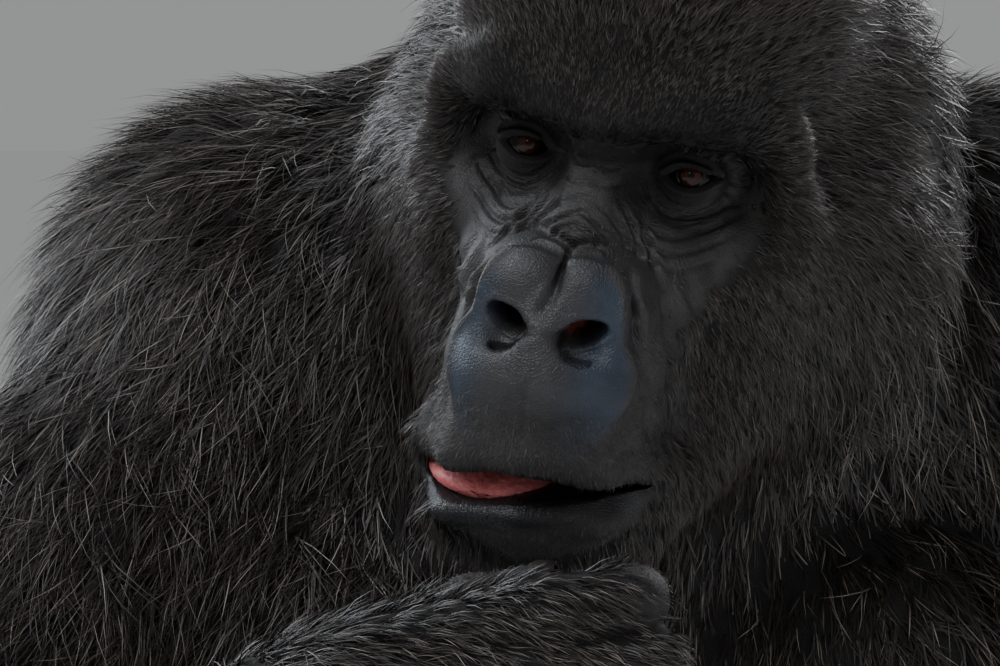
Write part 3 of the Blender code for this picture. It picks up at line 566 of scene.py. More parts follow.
def noseHeight(across, up):  # two overlapping circles above a wide oval, raised by a smooth step at the edge
    lobe = np.hypot(np.abs(across) - 0.0105, up + 0.0505) - 0.0240
    lower = (np.sqrt((across / 0.0420) ** 2 + ((up + 0.0780) / 0.0360) ** 2) - 1) * 0.0370
    edge = smoothMin(lobe, lower, 0.006)
    return smoothStep(0.0012, -0.0026, edge), edge


def mouthGap(across):  # middle height and half height of the gap between the lips; more open on its right
    middle = -0.1262 + 0.0040 * (across / 0.056) ** 2 - 0.0040 * smoothStep(0.02, -0.03, across)
    opened = 0.0028 + 0.0060 * smoothStep(0.040, -0.020, across)
    return middle, opened * np.clip(1 - (across / 0.0555) ** 4, 0.001, 1)


def hangs(inHead):  # how far the mouth has sunk there, more on its right, where it chews
    sink = 0.0045 + 0.0075 * smoothStep(0.0, -0.050, inHead[:, 0])
    window = between(inHead[:, 2], -0.082, -0.108, -0.188, -0.158)
    return sink * window * smoothStep(0.030, 0.005, inHead[:, 1])


def lipShare(across, up):  # 1 on the bare red of the lips: a thin edge above the gap, a thick roll under it
    middle, opened = mouthGap(across)
    below, above = middle - opened - up, up - middle - opened
    share = between(below, -0.0030, 0.0000, 0.0130, 0.0090)
    share = np.maximum(share, between(above, -0.0030, -0.0005, 0.0040, 0.0020))
    return share * smoothStep(0.060, 0.055, np.abs(across))


# heights along the normal, as steps and bells across lines and edges; then pushes for nostrils, mouth and eyes
def sculptFace(item):
    mesh = item.data
    world = meshPoints(mesh)
    inHead = toHead(world)
    face = inBox(inHead, skin["sculptBox"])
    points = inHead[face]
    normals = (meshNormals(mesh) @ headMatrix)[face]
    across, up = points[:, 0], points[:, 2]
    half = np.abs(across)
    front = smoothStep(0.10, 0.45, -normals[:, 1])
    height = np.zeros(len(points))
    for line, depth, width in creases:
        places = rounded(line) * 0.001
        away, share = alongLine(half + 0.0003 * np.sin(across * 900 + up * 700), up, places)
        ends = np.clip(1 - (2 * share - 1) ** 2, 0, 1) ** 0.8
        if line[0][0] == 0:
            ends = np.where(share < 0.5, 1, ends)
        width, depth = width * 0.001, depth * skin["creaseDepth"]
        height -= depth * 0.001 * ends * bell(away, 0, width)
        height += skin["creaseRidge"] * depth * 0.001 * ends * bell(away, 1.9 * width, 1.1 * width)
    pad, edge = noseHeight(across, up)
    padTop = smoothStep(-0.104, -0.080, up)
    height += skin["padRaised"] * pad * padTop
    height -= skin["padGroove"] * bell(edge, 0.0026, 0.0015) * padTop
    height += skin["padRim"] * bell(edge, -0.0030, 0.0016) * padTop
    cleft = np.abs(across - 0.0022 * np.sin((up + 0.047) * 130))
    height -= skin["cleftDepth"] * bell(cleft, 0, 0.0024) * between(up, -0.057, -0.046, -0.022, -0.031)
    furrow = skin["lipFurrow"] * bell(half, 0, 0.0016)
    height -= furrow * smoothStep(-0.112, -0.100, up) * smoothStep(-0.074, -0.082, up)
    fuller = skin["lowerLip"] + skin["lowerLip"] * smoothStep(0.01, -0.03, across)
    height += fuller * bell(up, -0.1415, 0.006) * smoothStep(0.058, 0.040, half)
    orbit = skin["orbitDepth"] * bell(up - 0.0165, 0.004 * np.sin(half * 40), 0.0045)
    height -= orbit * smoothStep(0.010, 0.022, half) * smoothStep(0.066, 0.052, half)
    height += skin["browHeight"] * bell(up, 0.0250, 0.0070) * smoothStep(0.078, 0.055, half)
    lips = bell(up, -0.118, 0.006) + 0.8 * bell(up, -0.141, 0.007)
    uprights = np.sin(across * 2 * math.pi / skin["lipLinePitch"] + 2 * np.sin(across * 260))
    height += skin["lipLines"] * lips * uprights
    points = points + (height * front)[:, None] * normals
    # nostrils: pushed in along a line that rises
    for sign in (1, -1):
        x, z = across * sign - 0.0152, up + 0.0580
        turned, lifted = x * 0.94 + z * 0.34, z * 0.94 - x * 0.34
        inside = 1 - (turned / 0.0130) ** 2 - (lifted / 0.0078) ** 2
        depth = skin["nostrilDepth"] * smoothStep(0, 0.75, inside) * (points[:, 1] < -0.045)
        points += depth[:, None] * np.array((-0.18 * sign, 1, 0.34))
        rim = bell(inside, -0.25, 0.22) * (points[:, 1] < -0.045)
        points += (skin["nostrilRim"] * rim)[:, None] * normals
    # mouth: pushed straight back between the lips
    middle, opened = mouthGap(across)
    inside = 1 - ((up - middle) / opened) ** 2
    mouth = smoothStep(0, 0.55, inside) * (half < 0.0555) * (points[:, 1] < -0.015)
    points[:, 1] += skin["mouthDepth"] * mouth * smoothStep(0.0555, 0.045, half)
    roll = smoothStep(0, -1.6, inside) * smoothStep(-0.016, 0, -np.abs(up - middle)) * (half < 0.052)
    points[:, 1] -= skin["lipRoll"] * roll * (points[:, 1] < -0.03)
    # eyes: within the almond the lid opens to a floor behind the eyeball, and its edge is a little thick
    for sign in (1, -1):
        centre = np.array((sign * eyes["apart"] / 2, 0, 0))
        local = points - centre
        lateral = (local[:, 0] - eyes["slitAside"]) * sign
        tilt = local[:, 2] - eyes["slitUp"] - 0.05 * lateral
        top = eyes["slitHalfHeight"] * np.clip(1 - np.abs(lateral / eyes["slitHalfWidth"]) ** 2.2, 0, 1)
        inside = np.where(tilt > 0, top, top * 0.90) - np.abs(tilt)
        near = (np.abs(lateral) < 0.020) & (np.abs(tilt) < 0.02) & (points[:, 1] < 0)
        opening = smoothStep(-0.0002, 0.0007, inside) * near
        onFloor = centre + local / distance(local)[:, None] * eyes["floor"]
        points = points + opening[:, None] * (onFloor - points)
        rim = bell(inside, -0.0013, 0.0009) * near * (1 - opening)
        points += (skin["lidEdge"] * rim)[:, None] * normals
    points[:, 2] -= hangs(points)
    inHead[face] = points
    setPoints(mesh, fromHead(inHead))


# every form as a ball or rod in one mesh, remeshed, drawn onto the field, and split where it needs detail
def buildSkin():
    bm = bmesh.new()
    for form in trunkForms + legForms + sole + toes + bigToe:
        addForm(bm, form, tuple, (1, -1))
    hands = rightPalm + rightFingers + rightThumb + leftPalm + leftFingers + leftThumb
    for form in rightArm + leftArm + hands + neckForms:
        addForm(bm, form, tuple, (1,))
    for form in headForms + upperLip + lowerLip + [eyelids, earRoot, earPlate]:
        addForm(bm, form, fromHead, (1, -1))
    mesh = bpy.data.meshes.new("skin")
    bm.to_mesh(mesh)
    bm.free()
    item = newObject("skin", mesh)
    remesh = item.modifiers.new("remesh", "REMESH")
    remesh.mode = "VOXEL"
    remesh.voxel_size = skin["voxel"]
    applied(item)
    setPoints(item.data, ontoField(meshPoints(item.data), 3))
    even = item.modifiers.new("even", "SMOOTH")
    even.factor, even.iterations = 0.5, 3
    applied(item)
    setPoints(item.data, ontoField(meshPoints(item.data), 2))
    for chosen in (fineParts, finerParts, innerFace, eyesAndMouth):
        print("skin", len(item.data.polygons), "faces, next", chosen.__name__)
        finer(item, chosen)
        points = meshPoints(item.data)
        moved = chosen(points)
        points[moved] = ontoField(points[moved], 2)
        setPoints(item.data, points)
    sculptFace(item)
    item.data.shade_smooth()
    return item


skinPiece = buildSkin()
print("skin", len(skinPiece.data.vertices), "points,", len(skinPiece.data.polygons), "faces")


def linear(hexColour):  # sRGB hex to linear: (c / 12.92) below 0.04045, else ((c + 0.055) / 1.055) ^ 2.4
    values = [int(hexColour[i:i + 2], 16) / 255 for i in (1, 3, 5)]
    return tuple(c / 12.92 if c <= 0.04045 else ((c + 0.055) / 1.055) ** 2.4 for c in values)


def tonesOf(hexColours):
    return {name: np.array(linear(value)) for name, value in hexColours.items()}


# settings and links go by the node's own words: a socket's name or number, else a property
def addNode(tree, kind, settings=None, links=None):
    node = tree.nodes.new("ShaderNode" + kind)
    for name, value in (settings or {}).items():
        if isinstance(name, int) or name in node.inputs:
            node.inputs[name].default_value = value
        else:
            setattr(node, name, value)
    for name, source in (links or {}).items():
        tree.links.new(source, node.inputs[name])
    return node


def newMaterial(name):
    made = bpy.data.materials.new(name)
    made.use_nodes = True
    made.node_tree.nodes.clear()
    return made, made.node_tree


def surface(tree, shader):
    addNode(tree, "OutputMaterial", links={"Surface": shader.outputs["BSDF"]})


hide = {
    "linePitch": 1.7,                   # of the fine lines, in mm
    "lineRelief": 0.0006,
    "lineShares": (0.55, 0.60, 0.22),   # about the eyes, beside the nose and over the bridge
    "cellRelief": 0.0005,
    "dry": 0.52,                        # roughness where it is dry, and where it is oiled
    "oiled": 0.22,
}


# bare skin of the face and hands: near black hide whose colour attribute carries a painted bluish sheen and
# painted shade, oiled on the nose and lips
def skinMaterial():
    made, tree = newMaterial("black gorilla hide")
    place = addNode(tree, "TexCoord").outputs["Object"]
    tint = addNode(tree, "Attribute", {"attribute_name": "hideColour"})
    wet = addNode(tree, "Attribute", {"attribute_name": "wet"})
    mottle = addNode(tree, "TexNoise", {"Scale": 90, "Detail": 5, "Roughness": 0.6}, {"Vector": place})
    mottleShare = addNode(tree, "MapRange",
                          {"From Min": 0.3, "From Max": 0.7, "To Min": 0.72, "To Max": 1.25},
                          {"Value": mottle.outputs["Fac"]})
    colour = addNode(tree, "VectorMath", {"operation": "SCALE"},
                     {"Vector": tint.outputs["Color"], "Scale": mottleShare.outputs["Result"]})
    # fine lines run square to the fold attribute, which counts millimetres across them
    fold = addNode(tree, "Attribute", {"attribute_name": "fold"})
    foldShare = addNode(tree, "Attribute", {"attribute_name": "foldShare"})
    waver = addNode(tree, "TexNoise", {"Scale": 160, "Detail": 3}, {"Vector": place})
    wavered = addNode(tree, "Math", {"operation": "MULTIPLY_ADD", 1: 5.5},
                      {0: waver.outputs["Fac"], 2: fold.outputs["Fac"]})
    pitch = addNode(tree, "Math", {"operation": "MULTIPLY", 1: 2 * math.pi / hide["linePitch"]},
                    {0: wavered.outputs["Value"]})
    lines = addNode(tree, "Math", {"operation": "SINE"}, {0: pitch.outputs["Value"]})
    lined = addNode(tree, "Math", {"operation": "MULTIPLY"},
                    {0: lines.outputs["Value"], 1: foldShare.outputs["Fac"]})
    lineRelief = addNode(tree, "Bump", {"Strength": 0.7, "Distance": hide["lineRelief"]},
                         {"Height": lined.outputs["Value"]})
    # creases about 1.5 mm apart and pores about 0.5 mm across
    cells = addNode(tree, "TexVoronoi", {"feature": "DISTANCE_TO_EDGE", "Scale": 620}, {"Vector": place})
    cellHeight = addNode(tree, "MapRange", {"From Min": 0.0, "From Max": 0.22},
                         {"Value": cells.outputs["Distance"]})
    pores = addNode(tree, "TexNoise", {"Scale": 1500, "Detail": 3, "Roughness": 0.6}, {"Vector": place})
    height = addNode(tree, "Math", {"operation": "MULTIPLY_ADD", 1: 0.5},
                     {0: cellHeight.outputs["Result"], 2: pores.outputs["Fac"]})
    relief = addNode(tree, "Bump", {"Strength": 0.55, "Distance": hide["cellRelief"]},
                     {"Height": height.outputs["Value"], "Normal": lineRelief.outputs["Normal"]})
    # below 0 the wet attribute is drier than dry, under the coat and in the sockets of the eyes
    rough = addNode(tree, "MapRange", {"From Min": 0, "From Max": 1, "To Min": hide["dry"],
                                       "To Max": hide["oiled"], "clamp": False}, {"Value": wet.outputs["Fac"]})
    shader = addNode(tree, "BsdfPrincipled", {"Specular IOR Level": 0.38, "IOR": 1.45},
                     {"Base Color": colour.outputs["Vector"], "Roughness": rough.outputs["Result"],
                      "Normal": relief.outputs["Normal"]})
    surface(tree, shader)
    return made


def floorMaterial():  # even, without gloss
    made, tree = newMaterial("matt pale paint")
    surface(tree, addNode(tree, "BsdfPrincipled", {"Base Color": (*linear("#F8F8F7"), 1), "Roughness": 0.9}))
    return made


def setAttribute(mesh, name, values, kind="FLOAT"):
    layer = mesh.attributes.new(name, kind, "POINT")
    if kind == "FLOAT_COLOR":
        values = np.concatenate([values, np.ones((len(values), 1))], 1)
    layer.data.foreach_set("value" if kind == "FLOAT" else "color", values.astype(np.float32).ravel())


view = {"aim": (-0.0493, -0.380, 0.822), "away": 4.0, "above": 0.10, "lens": 320, "sensor": 36}
studio = {"floorSize": 400, "farthest": 500, "world": "#C8C9CA", "worldStrength": 0.55,
          "lightsAim": (0, -0.25, 0.75)}
lights = (   # name, place, size in metres, watts and colour
    ("key", (-2.1, -2.3, 4.5), 2.4, 205, "#EEF0F4"),
    ("catch", (-0.9, -5.0, 2.6), 0.5, 9, "#FFFFFF"),
    ("fill", (3.6, -3.6, 1.6), 3.5, 18, "#F1F1F1"),
    ("rim", (2.4, 3.2, 3.4), 2.2, 300, "#F4F6FA"),
    ("rim left", (-3.2, 2.4, 3.0), 2.0, 170, "#E9F0F8"),
)


def buildStage():
    bpy.ops.mesh.primitive_plane_add(size=studio["floorSize"])
    floor = bpy.context.object
    floor.name = "floor"
    floor.data.materials.append(floorMaterial())
    world = bpy.data.worlds.new("studio")
    world.use_nodes = True
    sky = world.node_tree.nodes["Background"].inputs
    sky["Color"].default_value = (*linear(studio["world"]), 1)
    sky["Strength"].default_value = studio["worldStrength"]
    scene.world = world
    for name, place, size, power, colour in lights:
        light = bpy.data.lights.new(name, "AREA")
        light.size, light.energy, light.color = size, power, linear(colour)
        lamp = bpy.data.objects.new(name, light)
        lamp.location = place
        toAim = Vector(studio["lightsAim"]) - Vector(place)
        lamp.rotation_euler = toAim.to_track_quat("-Z", "Y").to_euler()
        scene.collection.objects.link(lamp)
    camera = bpy.data.objects.new("camera", bpy.data.cameras.new("camera"))
    aim = Vector(view["aim"])
    camera.location = aim + Vector((0, -view["away"], view["above"]))
    camera.rotation_euler = (aim - camera.location).to_track_quat("-Z", "Y").to_euler()
    camera.data.lens, camera.data.sensor_width = view["lens"], view["sensor"]
    camera.data.clip_end = studio["farthest"]
    scene.collection.objects.link(camera)
    scene.camera = camera


# the bluish tone is a painted sheen, strongest on the sides of the nose pad
# the dark red tone in the mouth is painted shade where the gap between the lips narrows
# the near black tone is painted shade: under the brow, about the eyes and in the nostrils' holes
hideColours = {
    "bare": "#2B2928", "palm": "#18171A", "sheenBlue": "#262E3A", "furred": "#0F0D0C", "silver": "#5A5754",
    "lip": "#131316", "mouth": "#A8484C", "mouthShade": "#2A1214", "socket": "#080707", "nostril": "#7A4238",
}
bareHalfWidth = (   # of the bare face, up and across from between the eyes
    (-0.168, -0.159, -0.147, -0.120, -0.085, -0.060, -0.040, -0.020, 0.000, 0.009, 0.018),
    (0.000, 0.030, 0.050, 0.057, 0.052, 0.052, 0.063, 0.073, 0.071, 0.056, 0.000),
)


def onHead(inHead):
    return distance(inHead) < skin["headReach"]


def bareness(points):  # 1 on the bare mask of the face and on palms, knuckles and soles, 0 under the coat
    inHead = toHead(points)
    half, up = np.abs(inHead[:, 0]), inHead[:, 2]
    widths = np.interp(up, *bareHalfWidth)
    face = smoothStep(-0.006, 0.006, widths - half) * smoothStep(0.040, 0.028, inHead[:, 1])
    bare = face * onHead(inHead)
    for place, radius in bareSpots:
        bare = np.maximum(bare, smoothStep(radius, radius * 0.72, distance(points, place)))
    inner = distance(np.abs(inHead), np.abs(onEar(0, 0, 0.006)))
    return np.maximum(bare, 0.8 * smoothStep(0.026, 0.018, inner))


def fingerSpots():  # a place and a radius on each finger, thumb and toe
    curled = [form for i, form in enumerate(rightFingers) if i % 3]
    spots = [(form["end"], 0.019) for form in curled + rightThumb[1:]] + [(rightFingers[0]["end"], 0.020)]
    spots += [(form["end"], 0.024) for form in leftFingers + leftThumb]
    for form in toes + bigToe:
        spots += [(form["end"] * flip - (0, 0, 0.004), 0.024) for flip in ((1, 1, 1), (-1, 1, 1))]
    return spots


bareSpots = fingerSpots()


def silverness(points):  # the saddle of the silverback: lower back, rump and the backs of the thighs
    ragged = 0.03 * np.sin(points[:, 0] * 31) + 0.02 * np.sin(points[:, 0] * 83 + points[:, 2] * 40)
    back = smoothStep(-0.12, 0.06, points[:, 1]) * smoothStep(0.76, 0.46, points[:, 2] + ragged)
    thighs = smoothStep(0.30, 0.12, points[:, 2]) * smoothStep(-0.30, -0.10, points[:, 1])
    return np.maximum(back, 0.5 * thighs) * smoothStep(0.34, 0.20, np.abs(points[:, 0]))


# each place's colour, how wet it is, and the count of millimetres across its folds, kept on the mesh
def paintSkin(item):
    mesh = item.data
    points = meshPoints(mesh)
    inHead = toHead(points)
    across, up = inHead[:, 0], inHead[:, 2] + hangs(inHead + (0, 0, 0.006))
    colours = tonesOf(hideColours)
    bare = bareness(points)[:, None]
    onFace = onHead(inHead)
    uncovered = np.where(onFace[:, None], colours["bare"], colours["palm"])
    colour = colours["furred"] * (1 - bare) + uncovered * bare
    colour = toward(colour, colours["silver"], silverness(points)[:, None], 1 - bare)
    near = onFace & (inHead[:, 1] < 0.0)
    pad, _ = noseHeight(across, up)
    # painted bluish sheen: strongest on the sides of the nose pad, faint over the rest of the bare face below
    # the eyes
    sides = smoothStep(0.012, 0.034, np.abs(across + 0.004))
    paintedSheen = (pad * smoothStep(-0.125, -0.085, up) * (0.05 + 0.95 * sides) + 0.10 * (up < -0.01)) * near
    colour = toward(colour, colours["sheenBlue"], np.clip(paintedSheen, 0, 1)[:, None], bare)
    # painted shade under the brow, around each eye and at its inner corner
    half = np.abs(across)
    under = smoothStep(-0.001, 0.005, up - 0.10 * np.abs(half - 0.036)) * near
    under = np.maximum(under, 0.8 * smoothStep(0.020, 0.012, np.hypot(half - 0.036, up - 0.002)) * near)
    under = np.maximum(under, 0.7 * smoothStep(0.012, 0.004, np.hypot(half - 0.018, up + 0.004)) * near)
    colour = toward(colour, colours["socket"], under[:, None], bare)
    lips = lipShare(across, up) * near
    colour = toward(colour, colours["lip"], lips[:, None])
    # flesh colour inside the mouth, behind the lips' front, with painted shade darkening it towards its left,
    # where the gap is narrower
    middle, opened = mouthGap(across)
    lipFront = np.interp(half, [0, 0.030, 0.050, 0.054], [-0.080, -0.068, -0.043, -0.024])
    deep = smoothStep(lipFront, lipFront + 0.008, inHead[:, 1]) * (np.abs(up - middle) < opened + 0.002) * near
    deep *= half < 0.052
    inner = toward(colours["mouth"], colours["mouthShade"], smoothStep(-0.020, 0.004, across)[:, None])
    colour = toward(colour, inner, deep[:, None])
    nostril = np.zeros(len(points))
    for sign in (1, -1):
        # painted shade darkens each nostril's hole; the reddish nostril tone is its own flesh
        hole = np.hypot(across * sign - 0.0150, up + 0.057)
        deepIn = smoothStep(-0.078, -0.070, inHead[:, 1]) * (inHead[:, 1] < -0.03) * near
        dark = smoothStep(0.013, 0.010, hole) * deepIn
        colour = toward(colour, colours["socket"], dark[:, None])
        away = np.hypot(across * sign - 0.0095, up + 0.055)
        nostril = np.maximum(nostril, smoothStep(0.0060, 0.0030, away) * deepIn)
    colour = toward(colour, colours["nostril"], nostril[:, None])
    wet = np.clip(0.8 * lips + deep + 0.55 * pad * near + 0.6 * nostril, 0, 1)
    wet -= under + (1 - bare[:, 0]) * (1 - pad)
    # rings about the eyes, level lines over the bridge, and lines that fall away beside the nose
    fromEye = np.hypot(half - eyes["apart"] / 2, (up + 0.001) * 1.25)
    beside = half * 0.86 + up * 0.50
    ringed = between(fromEye, 0.012, 0.016, 0.036, 0.026) * smoothStep(0.006, -0.006, up)
    slanted = smoothStep(0.010, 0.018, half) * smoothStep(-0.085, -0.060, up) * smoothStep(-0.014, -0.030, up)
    patchy = 0.45 + 0.35 * np.sin(across * 310 + up * 170)
    slanted *= smoothStep(0.060, 0.046, half) * (1 - 0.8 * ringed) * patchy
    bridge = smoothStep(0.016, 0.010, half) * smoothStep(-0.034, -0.024, up) * smoothStep(0.030, 0.012, up)
    kinds = np.stack([ringed, slanted, bridge], 1)
    chosen = kinds.argmax(1)
    counts = np.stack([fromEye, beside, up + 0.15 * half], 1) * 1000
    rows = np.arange(len(points))
    offPad = 1 - pad * (up < -0.024)
    setAttribute(mesh, "fold", counts[rows, chosen])
    # waves in both directions fade the lines out and in, so none runs on evenly
    level, upright = up * 510 + 2 * np.sin(across * 330), across * 420 + 3 * np.sin(up * 260)
    broken = 0.5 + 0.5 * np.sin(upright) * np.sin(level)
    kinds *= np.array(hide["lineShares"])
    setAttribute(mesh, "foldShare", kinds[rows, chosen] * near * offPad * bare[:, 0] * broken)
    setAttribute(mesh, "hideColour", colour, "FLOAT_COLOR")
    setAttribute(mesh, "wet", wet)
    mesh.materials.clear()
    mesh.materials.append(skinMaterial())


coat = {
    "thin": 0.95,
    "mostTriangles": 190000,    # in one piece
    "fineBelow": 0.0235,        # hair shorter than this is fine, and the rest is long
    "strandArea": 0.62,         # as a share of a strand's length times its width
    "patch": 0.003,             # of a tuft on the OFBake map
    # strands in a tuft, how far they stray, spread, bend and sag, and how far they close in on its tip
    "fine": {"strands": 4, "steps": 2, "stray": 0.16, "spread": 0.10, "close": 0.45, "bend": 0.10, "sag": 0.02},
    "long": {"strands": 6, "steps": 3, "stray": 0.30, "spread": 0.11, "close": 0.55, "bend": 0.24, "sag": 0.08},
}
# how far the tufts and strands differ from the length, width and lift of their place
uneven = {"tuft": (0.78, 1.18), "lift": (0.6, 1.35), "length": (0.8, 1.12), "width": (0.7, 1.25),
          "twist": 0.45, "sunk": 0.0006}


def guide(part, start, end, radius, lie, length, lift=22, width=0.0010, cover=3.0, soft=0.03):
    # how the hair near this rod lies: direction, length, angle off the skin, width and thickness of cover
    return {"part": part, "start": np.array(start, float), "end": np.array(end, float), "radius": radius,
            "lie": unit(lie), "length": length, "lift": lift, "width": width, "cover": cover, "soft": soft}


def headGuides():
    # part, place, lie, length, lift, width and cover; those off the middle are mirrored
    rows = (
        ("crown", (0, -0.030, 0.035), (0, 0.3, 1), 0.0042, 32, 0.00033, 1.7),
        ("crown", (0.030, -0.030, 0.038), (0.25, 0.3, 1), 0.0042, 32, 0.00033, 1.7),
        ("crown", (0.055, -0.018, 0.040), (0.6, 0.3, 0.7), 0.0048, 32, 0.00034, 1.8),
        ("crown", (0.080, 0.008, 0.026), (0.8, 0.5, 0.1), 0.0075, 30, 0.00038, 2.4),
        ("crown", (0, -0.015, 0.075), (0, 0.5, 1), 0.0105, 32, 0.00044, 3.0),
        ("crown", (0.050, 0.000, 0.080), (0.5, 0.6, 0.6), 0.0110, 30, 0.00044, 3.0),
        ("crown", (0, 0.030, 0.150), (0, 1, 0.4), 0.0200, 32, 0.00058, 3.0),
        ("crown", (0.045, 0.060, 0.140), (0.4, 1, 0), 0.0210, 32, 0.00058, 3.0),
        ("crown", (0, 0.140, 0.150), (0, 1, -0.5), 0.0260, 28, 0.00070, 2.6),
        ("crown", (0.090, 0.055, 0.055), (0.5, 1, -0.2), 0.0170, 28, 0.00055, 3.0),
        ("cheeks", (0.100, 0.040, 0.000), (0.5, 0.8, -0.6), 0.0150, 26, 0.00055, 3.0),
        ("cheeks", (0.078, 0.018, -0.035), (0.6, 0.5, -0.8), 0.0070, 22, 0.00042, 2.4),
        ("cheeks", (0.080, 0.030, -0.075), (0.35, 0.45, -1), 0.0105, 22, 0.00046, 2.8),
        ("cheeks", (0.060, 0.000, -0.110), (0.25, 0.35, -1), 0.0075, 20, 0.00042, 2.4),
        ("cheeks", (0.062, 0.012, -0.145), (0.25, 0.40, -1), 0.0110, 24, 0.00046, 2.6),
        ("ruff", (0.120, 0.120, -0.030), (0.6, 0.8, -0.5), 0.0270, 34, 0.00070, 3.0),
        ("ruff", (0.105, 0.110, -0.090), (0.5, 0.5, -0.9), 0.0260, 32, 0.00070, 3.0),
        ("ruff", (0.085, 0.070, -0.120), (0.4, 0.5, -1), 0.0220, 30, 0.00065, 3.0),
        ("ruff", (0.100, 0.150, 0.050), (0.5, 1, -0.5), 0.0260, 30, 0.00070, 3.0),
        ("throat", (0, -0.045, -0.175), (0, 0.4, -1), 0.0110, 30, 0.00045, 2.0),
        ("throat", (0.030, -0.025, -0.175), (0.2, 0.4, -1), 0.0120, 28, 0.00048, 2.4),
        ("throat", (0.030, 0.040, -0.175), (0.1, 0.6, -0.9), 0.0200, 24, 0.00065, 2.4),
        ("nape", (0, 0.220, 0.030), (0, 0.3, -1), 0.0300, 26, 0.00100, 2.4),
    )
    guides = []
    for part, place, lie, length, lift, width, cover in rows:
        for side in ((1, -1) if place[0] else (1,)):
            flip = (side, 1, 1)
            spot = fromHead(np.array(place) * flip)
            guides.append(guide(part, spot, spot, 0, headMatrix @ (np.array(lie) * flip), length, lift, width,
                                cover, 0.012))
    return guides


def bodyGuides():
    guides = [
        guide("nape", (0, -0.060, 0.900), (0, -0.040, 0.860), 0.060, (0, 0.9, -0.5), 0.034, 24, 0.0012, 2.4),
        guide("back", (0, 0.020, 0.700), (0, 0.040, 0.450), 0.160, (0, 0.1, -1), 0.026, 18, 0.0018, 2.5),
        guide("loins", (0, 0.050, 0.400), (0, 0.050, 0.250), 0.150, (0, 0.1, -1), 0.028, 16, 0.0018, 2.6),
        guide("chest", (0, -0.180, 0.680), (0, -0.170, 0.540), 0.120, (0, 0, -1), 0.020, 16, 0.0009, 1.6),
        guide("belly", (0, -0.180, 0.420), (0, -0.160, 0.300), 0.160, (0, -0.1, -1), 0.030, 16, 0.0017, 2.0),
        guide("loins", (0, 0.040, 0.150), (0, -0.02, 0.100), 0.170, (0, 0.2, -1), 0.032, 16, 0.0018, 2.3),
    ]
    arms = (("r", -1, "rightShoulder", "rightElbow", "rightWrist", "rightKnuckles", 0.00070, 2.9),
            ("l", 1, "leftShoulder", "leftElbow", "leftWrist", "leftKnuckles", 0.0012, 2.4))
    for side, sign, *joints, width, cover in arms:
        shoulder, elbow, wrist, knuckles = (np.array(pose[joint]) for joint in joints)
        down, fore = unit(elbow - shoulder), unit(elbow - wrist)
        ahead = unit(knuckles - wrist)
        guides += [
            guide("neck_" + side, (sign * 0.06, -0.13, 0.87), (sign * 0.10, -0.12, 0.84), 0.060,
                  (sign * 0.9, 0.1, -0.7), 0.034, 26, width * 1.1, cover * 0.85),
            guide("shoulder_" + side, (sign * 0.130, -0.12, 0.83), shoulder, 0.085, (sign * 0.9, 0.0, -0.9),
                  0.036, 32, width, cover * 1.1),
            guide("shoulder_" + side, (sign * 0.175, -0.135, 0.90), (sign * 0.235, -0.150, 0.85), 0.020,
                  (sign * 0.9, 0.1, 0.5), 0.048, 46, width * 0.8, cover * 0.8, 0.018),
            guide("shoulder_" + side, shoulder, along(shoulder, elbow, 0.25), 0.085,
                  down + (0, 0, -0.4), 0.038, 26, width, cover),
            guide("upper_arm_" + side, along(shoulder, elbow, 0.35), along(shoulder, elbow, 0.85), 0.078,
                  down + (0, 0, -0.3), 0.038, 24, width, cover),
            guide("forearm_" + side, elbow, along(elbow, wrist, 0.75), 0.060, fore + (0, 0, -0.5), 0.038, 24,
                  width, cover),
            guide("hand_" + side, along(elbow, wrist, 0.9), wrist, 0.040, ahead + (0, 0, -0.4), 0.0235, 28,
                  width * 0.9, cover * 0.8, 0.04),
            guide("hand_" + side, along(wrist, knuckles, 0.3), knuckles, 0.026, ahead + (0, 0, -0.5), 0.012,
                  30, width * 0.68, cover * 0.62, 0.020),
        ]
    for side, sign in (("r", -1), ("l", 1)):
        flip = np.array((sign, 1, 1))
        down = unit(knee - hip)
        guides += [
            guide("thigh_" + side, along(hip, knee, 0.25) * flip, knee * flip, 0.085,
                  (down + (0, 0, -0.9)) * flip, 0.034, 18, 0.0017, 2.2),
            guide("shank_" + side, knee * flip, ankle * flip, 0.055,
                  unit(ankle - knee) * flip, 0.032, 20, 0.0016, 2.2),
            guide("shank_" + side, ankle * flip, (heel + 0.12 * footAhead) * flip, 0.034,
                  (footAhead + (0, 0, -0.5)) * flip, 0.014, 20, 0.0010, 1.8, 0.02),
        ]
    return guides


def combed(points, guides):
    # weights exp(-(d - least d) / softness), where d is the distance to each guide's rod less its radius
    away = np.empty((len(points), len(guides)))
    for i, row in enumerate(guides):
        line = row["end"] - row["start"]
        share = np.clip((points - row["start"]) @ line / max(line @ line, 1e-9), 0, 1)
        away[:, i] = np.linalg.norm(points - row["start"] - share[:, None] * line, axis=1) - row["radius"]
    weights = np.exp(-(away - away.min(1, keepdims=True)) / np.array([row["soft"] for row in guides]))
    weights /= weights.sum(1, keepdims=True)
    mixed = {name: weights @ np.array([row[name] for row in guides])
             for name in ("lie", "length", "lift", "width", "cover")}
    mixed["nearest"] = away.argmin(1)
    return mixed


def surfaceOf(item):  # corners, normals and areas of the skin's triangles
    mesh = item.data
    mesh.calc_loop_triangles()
    corners = rowsOf(mesh.loop_triangles, "vertices", np.int32, np.int32)
    points, normals = meshPoints(mesh), meshNormals(mesh)
    sides = points[corners]
    areas = np.linalg.norm(np.cross(sides[:, 1] - sides[:, 0], sides[:, 2] - sides[:, 0]), axis=1) / 2
    return points, normals, corners, sides.mean(1), areas


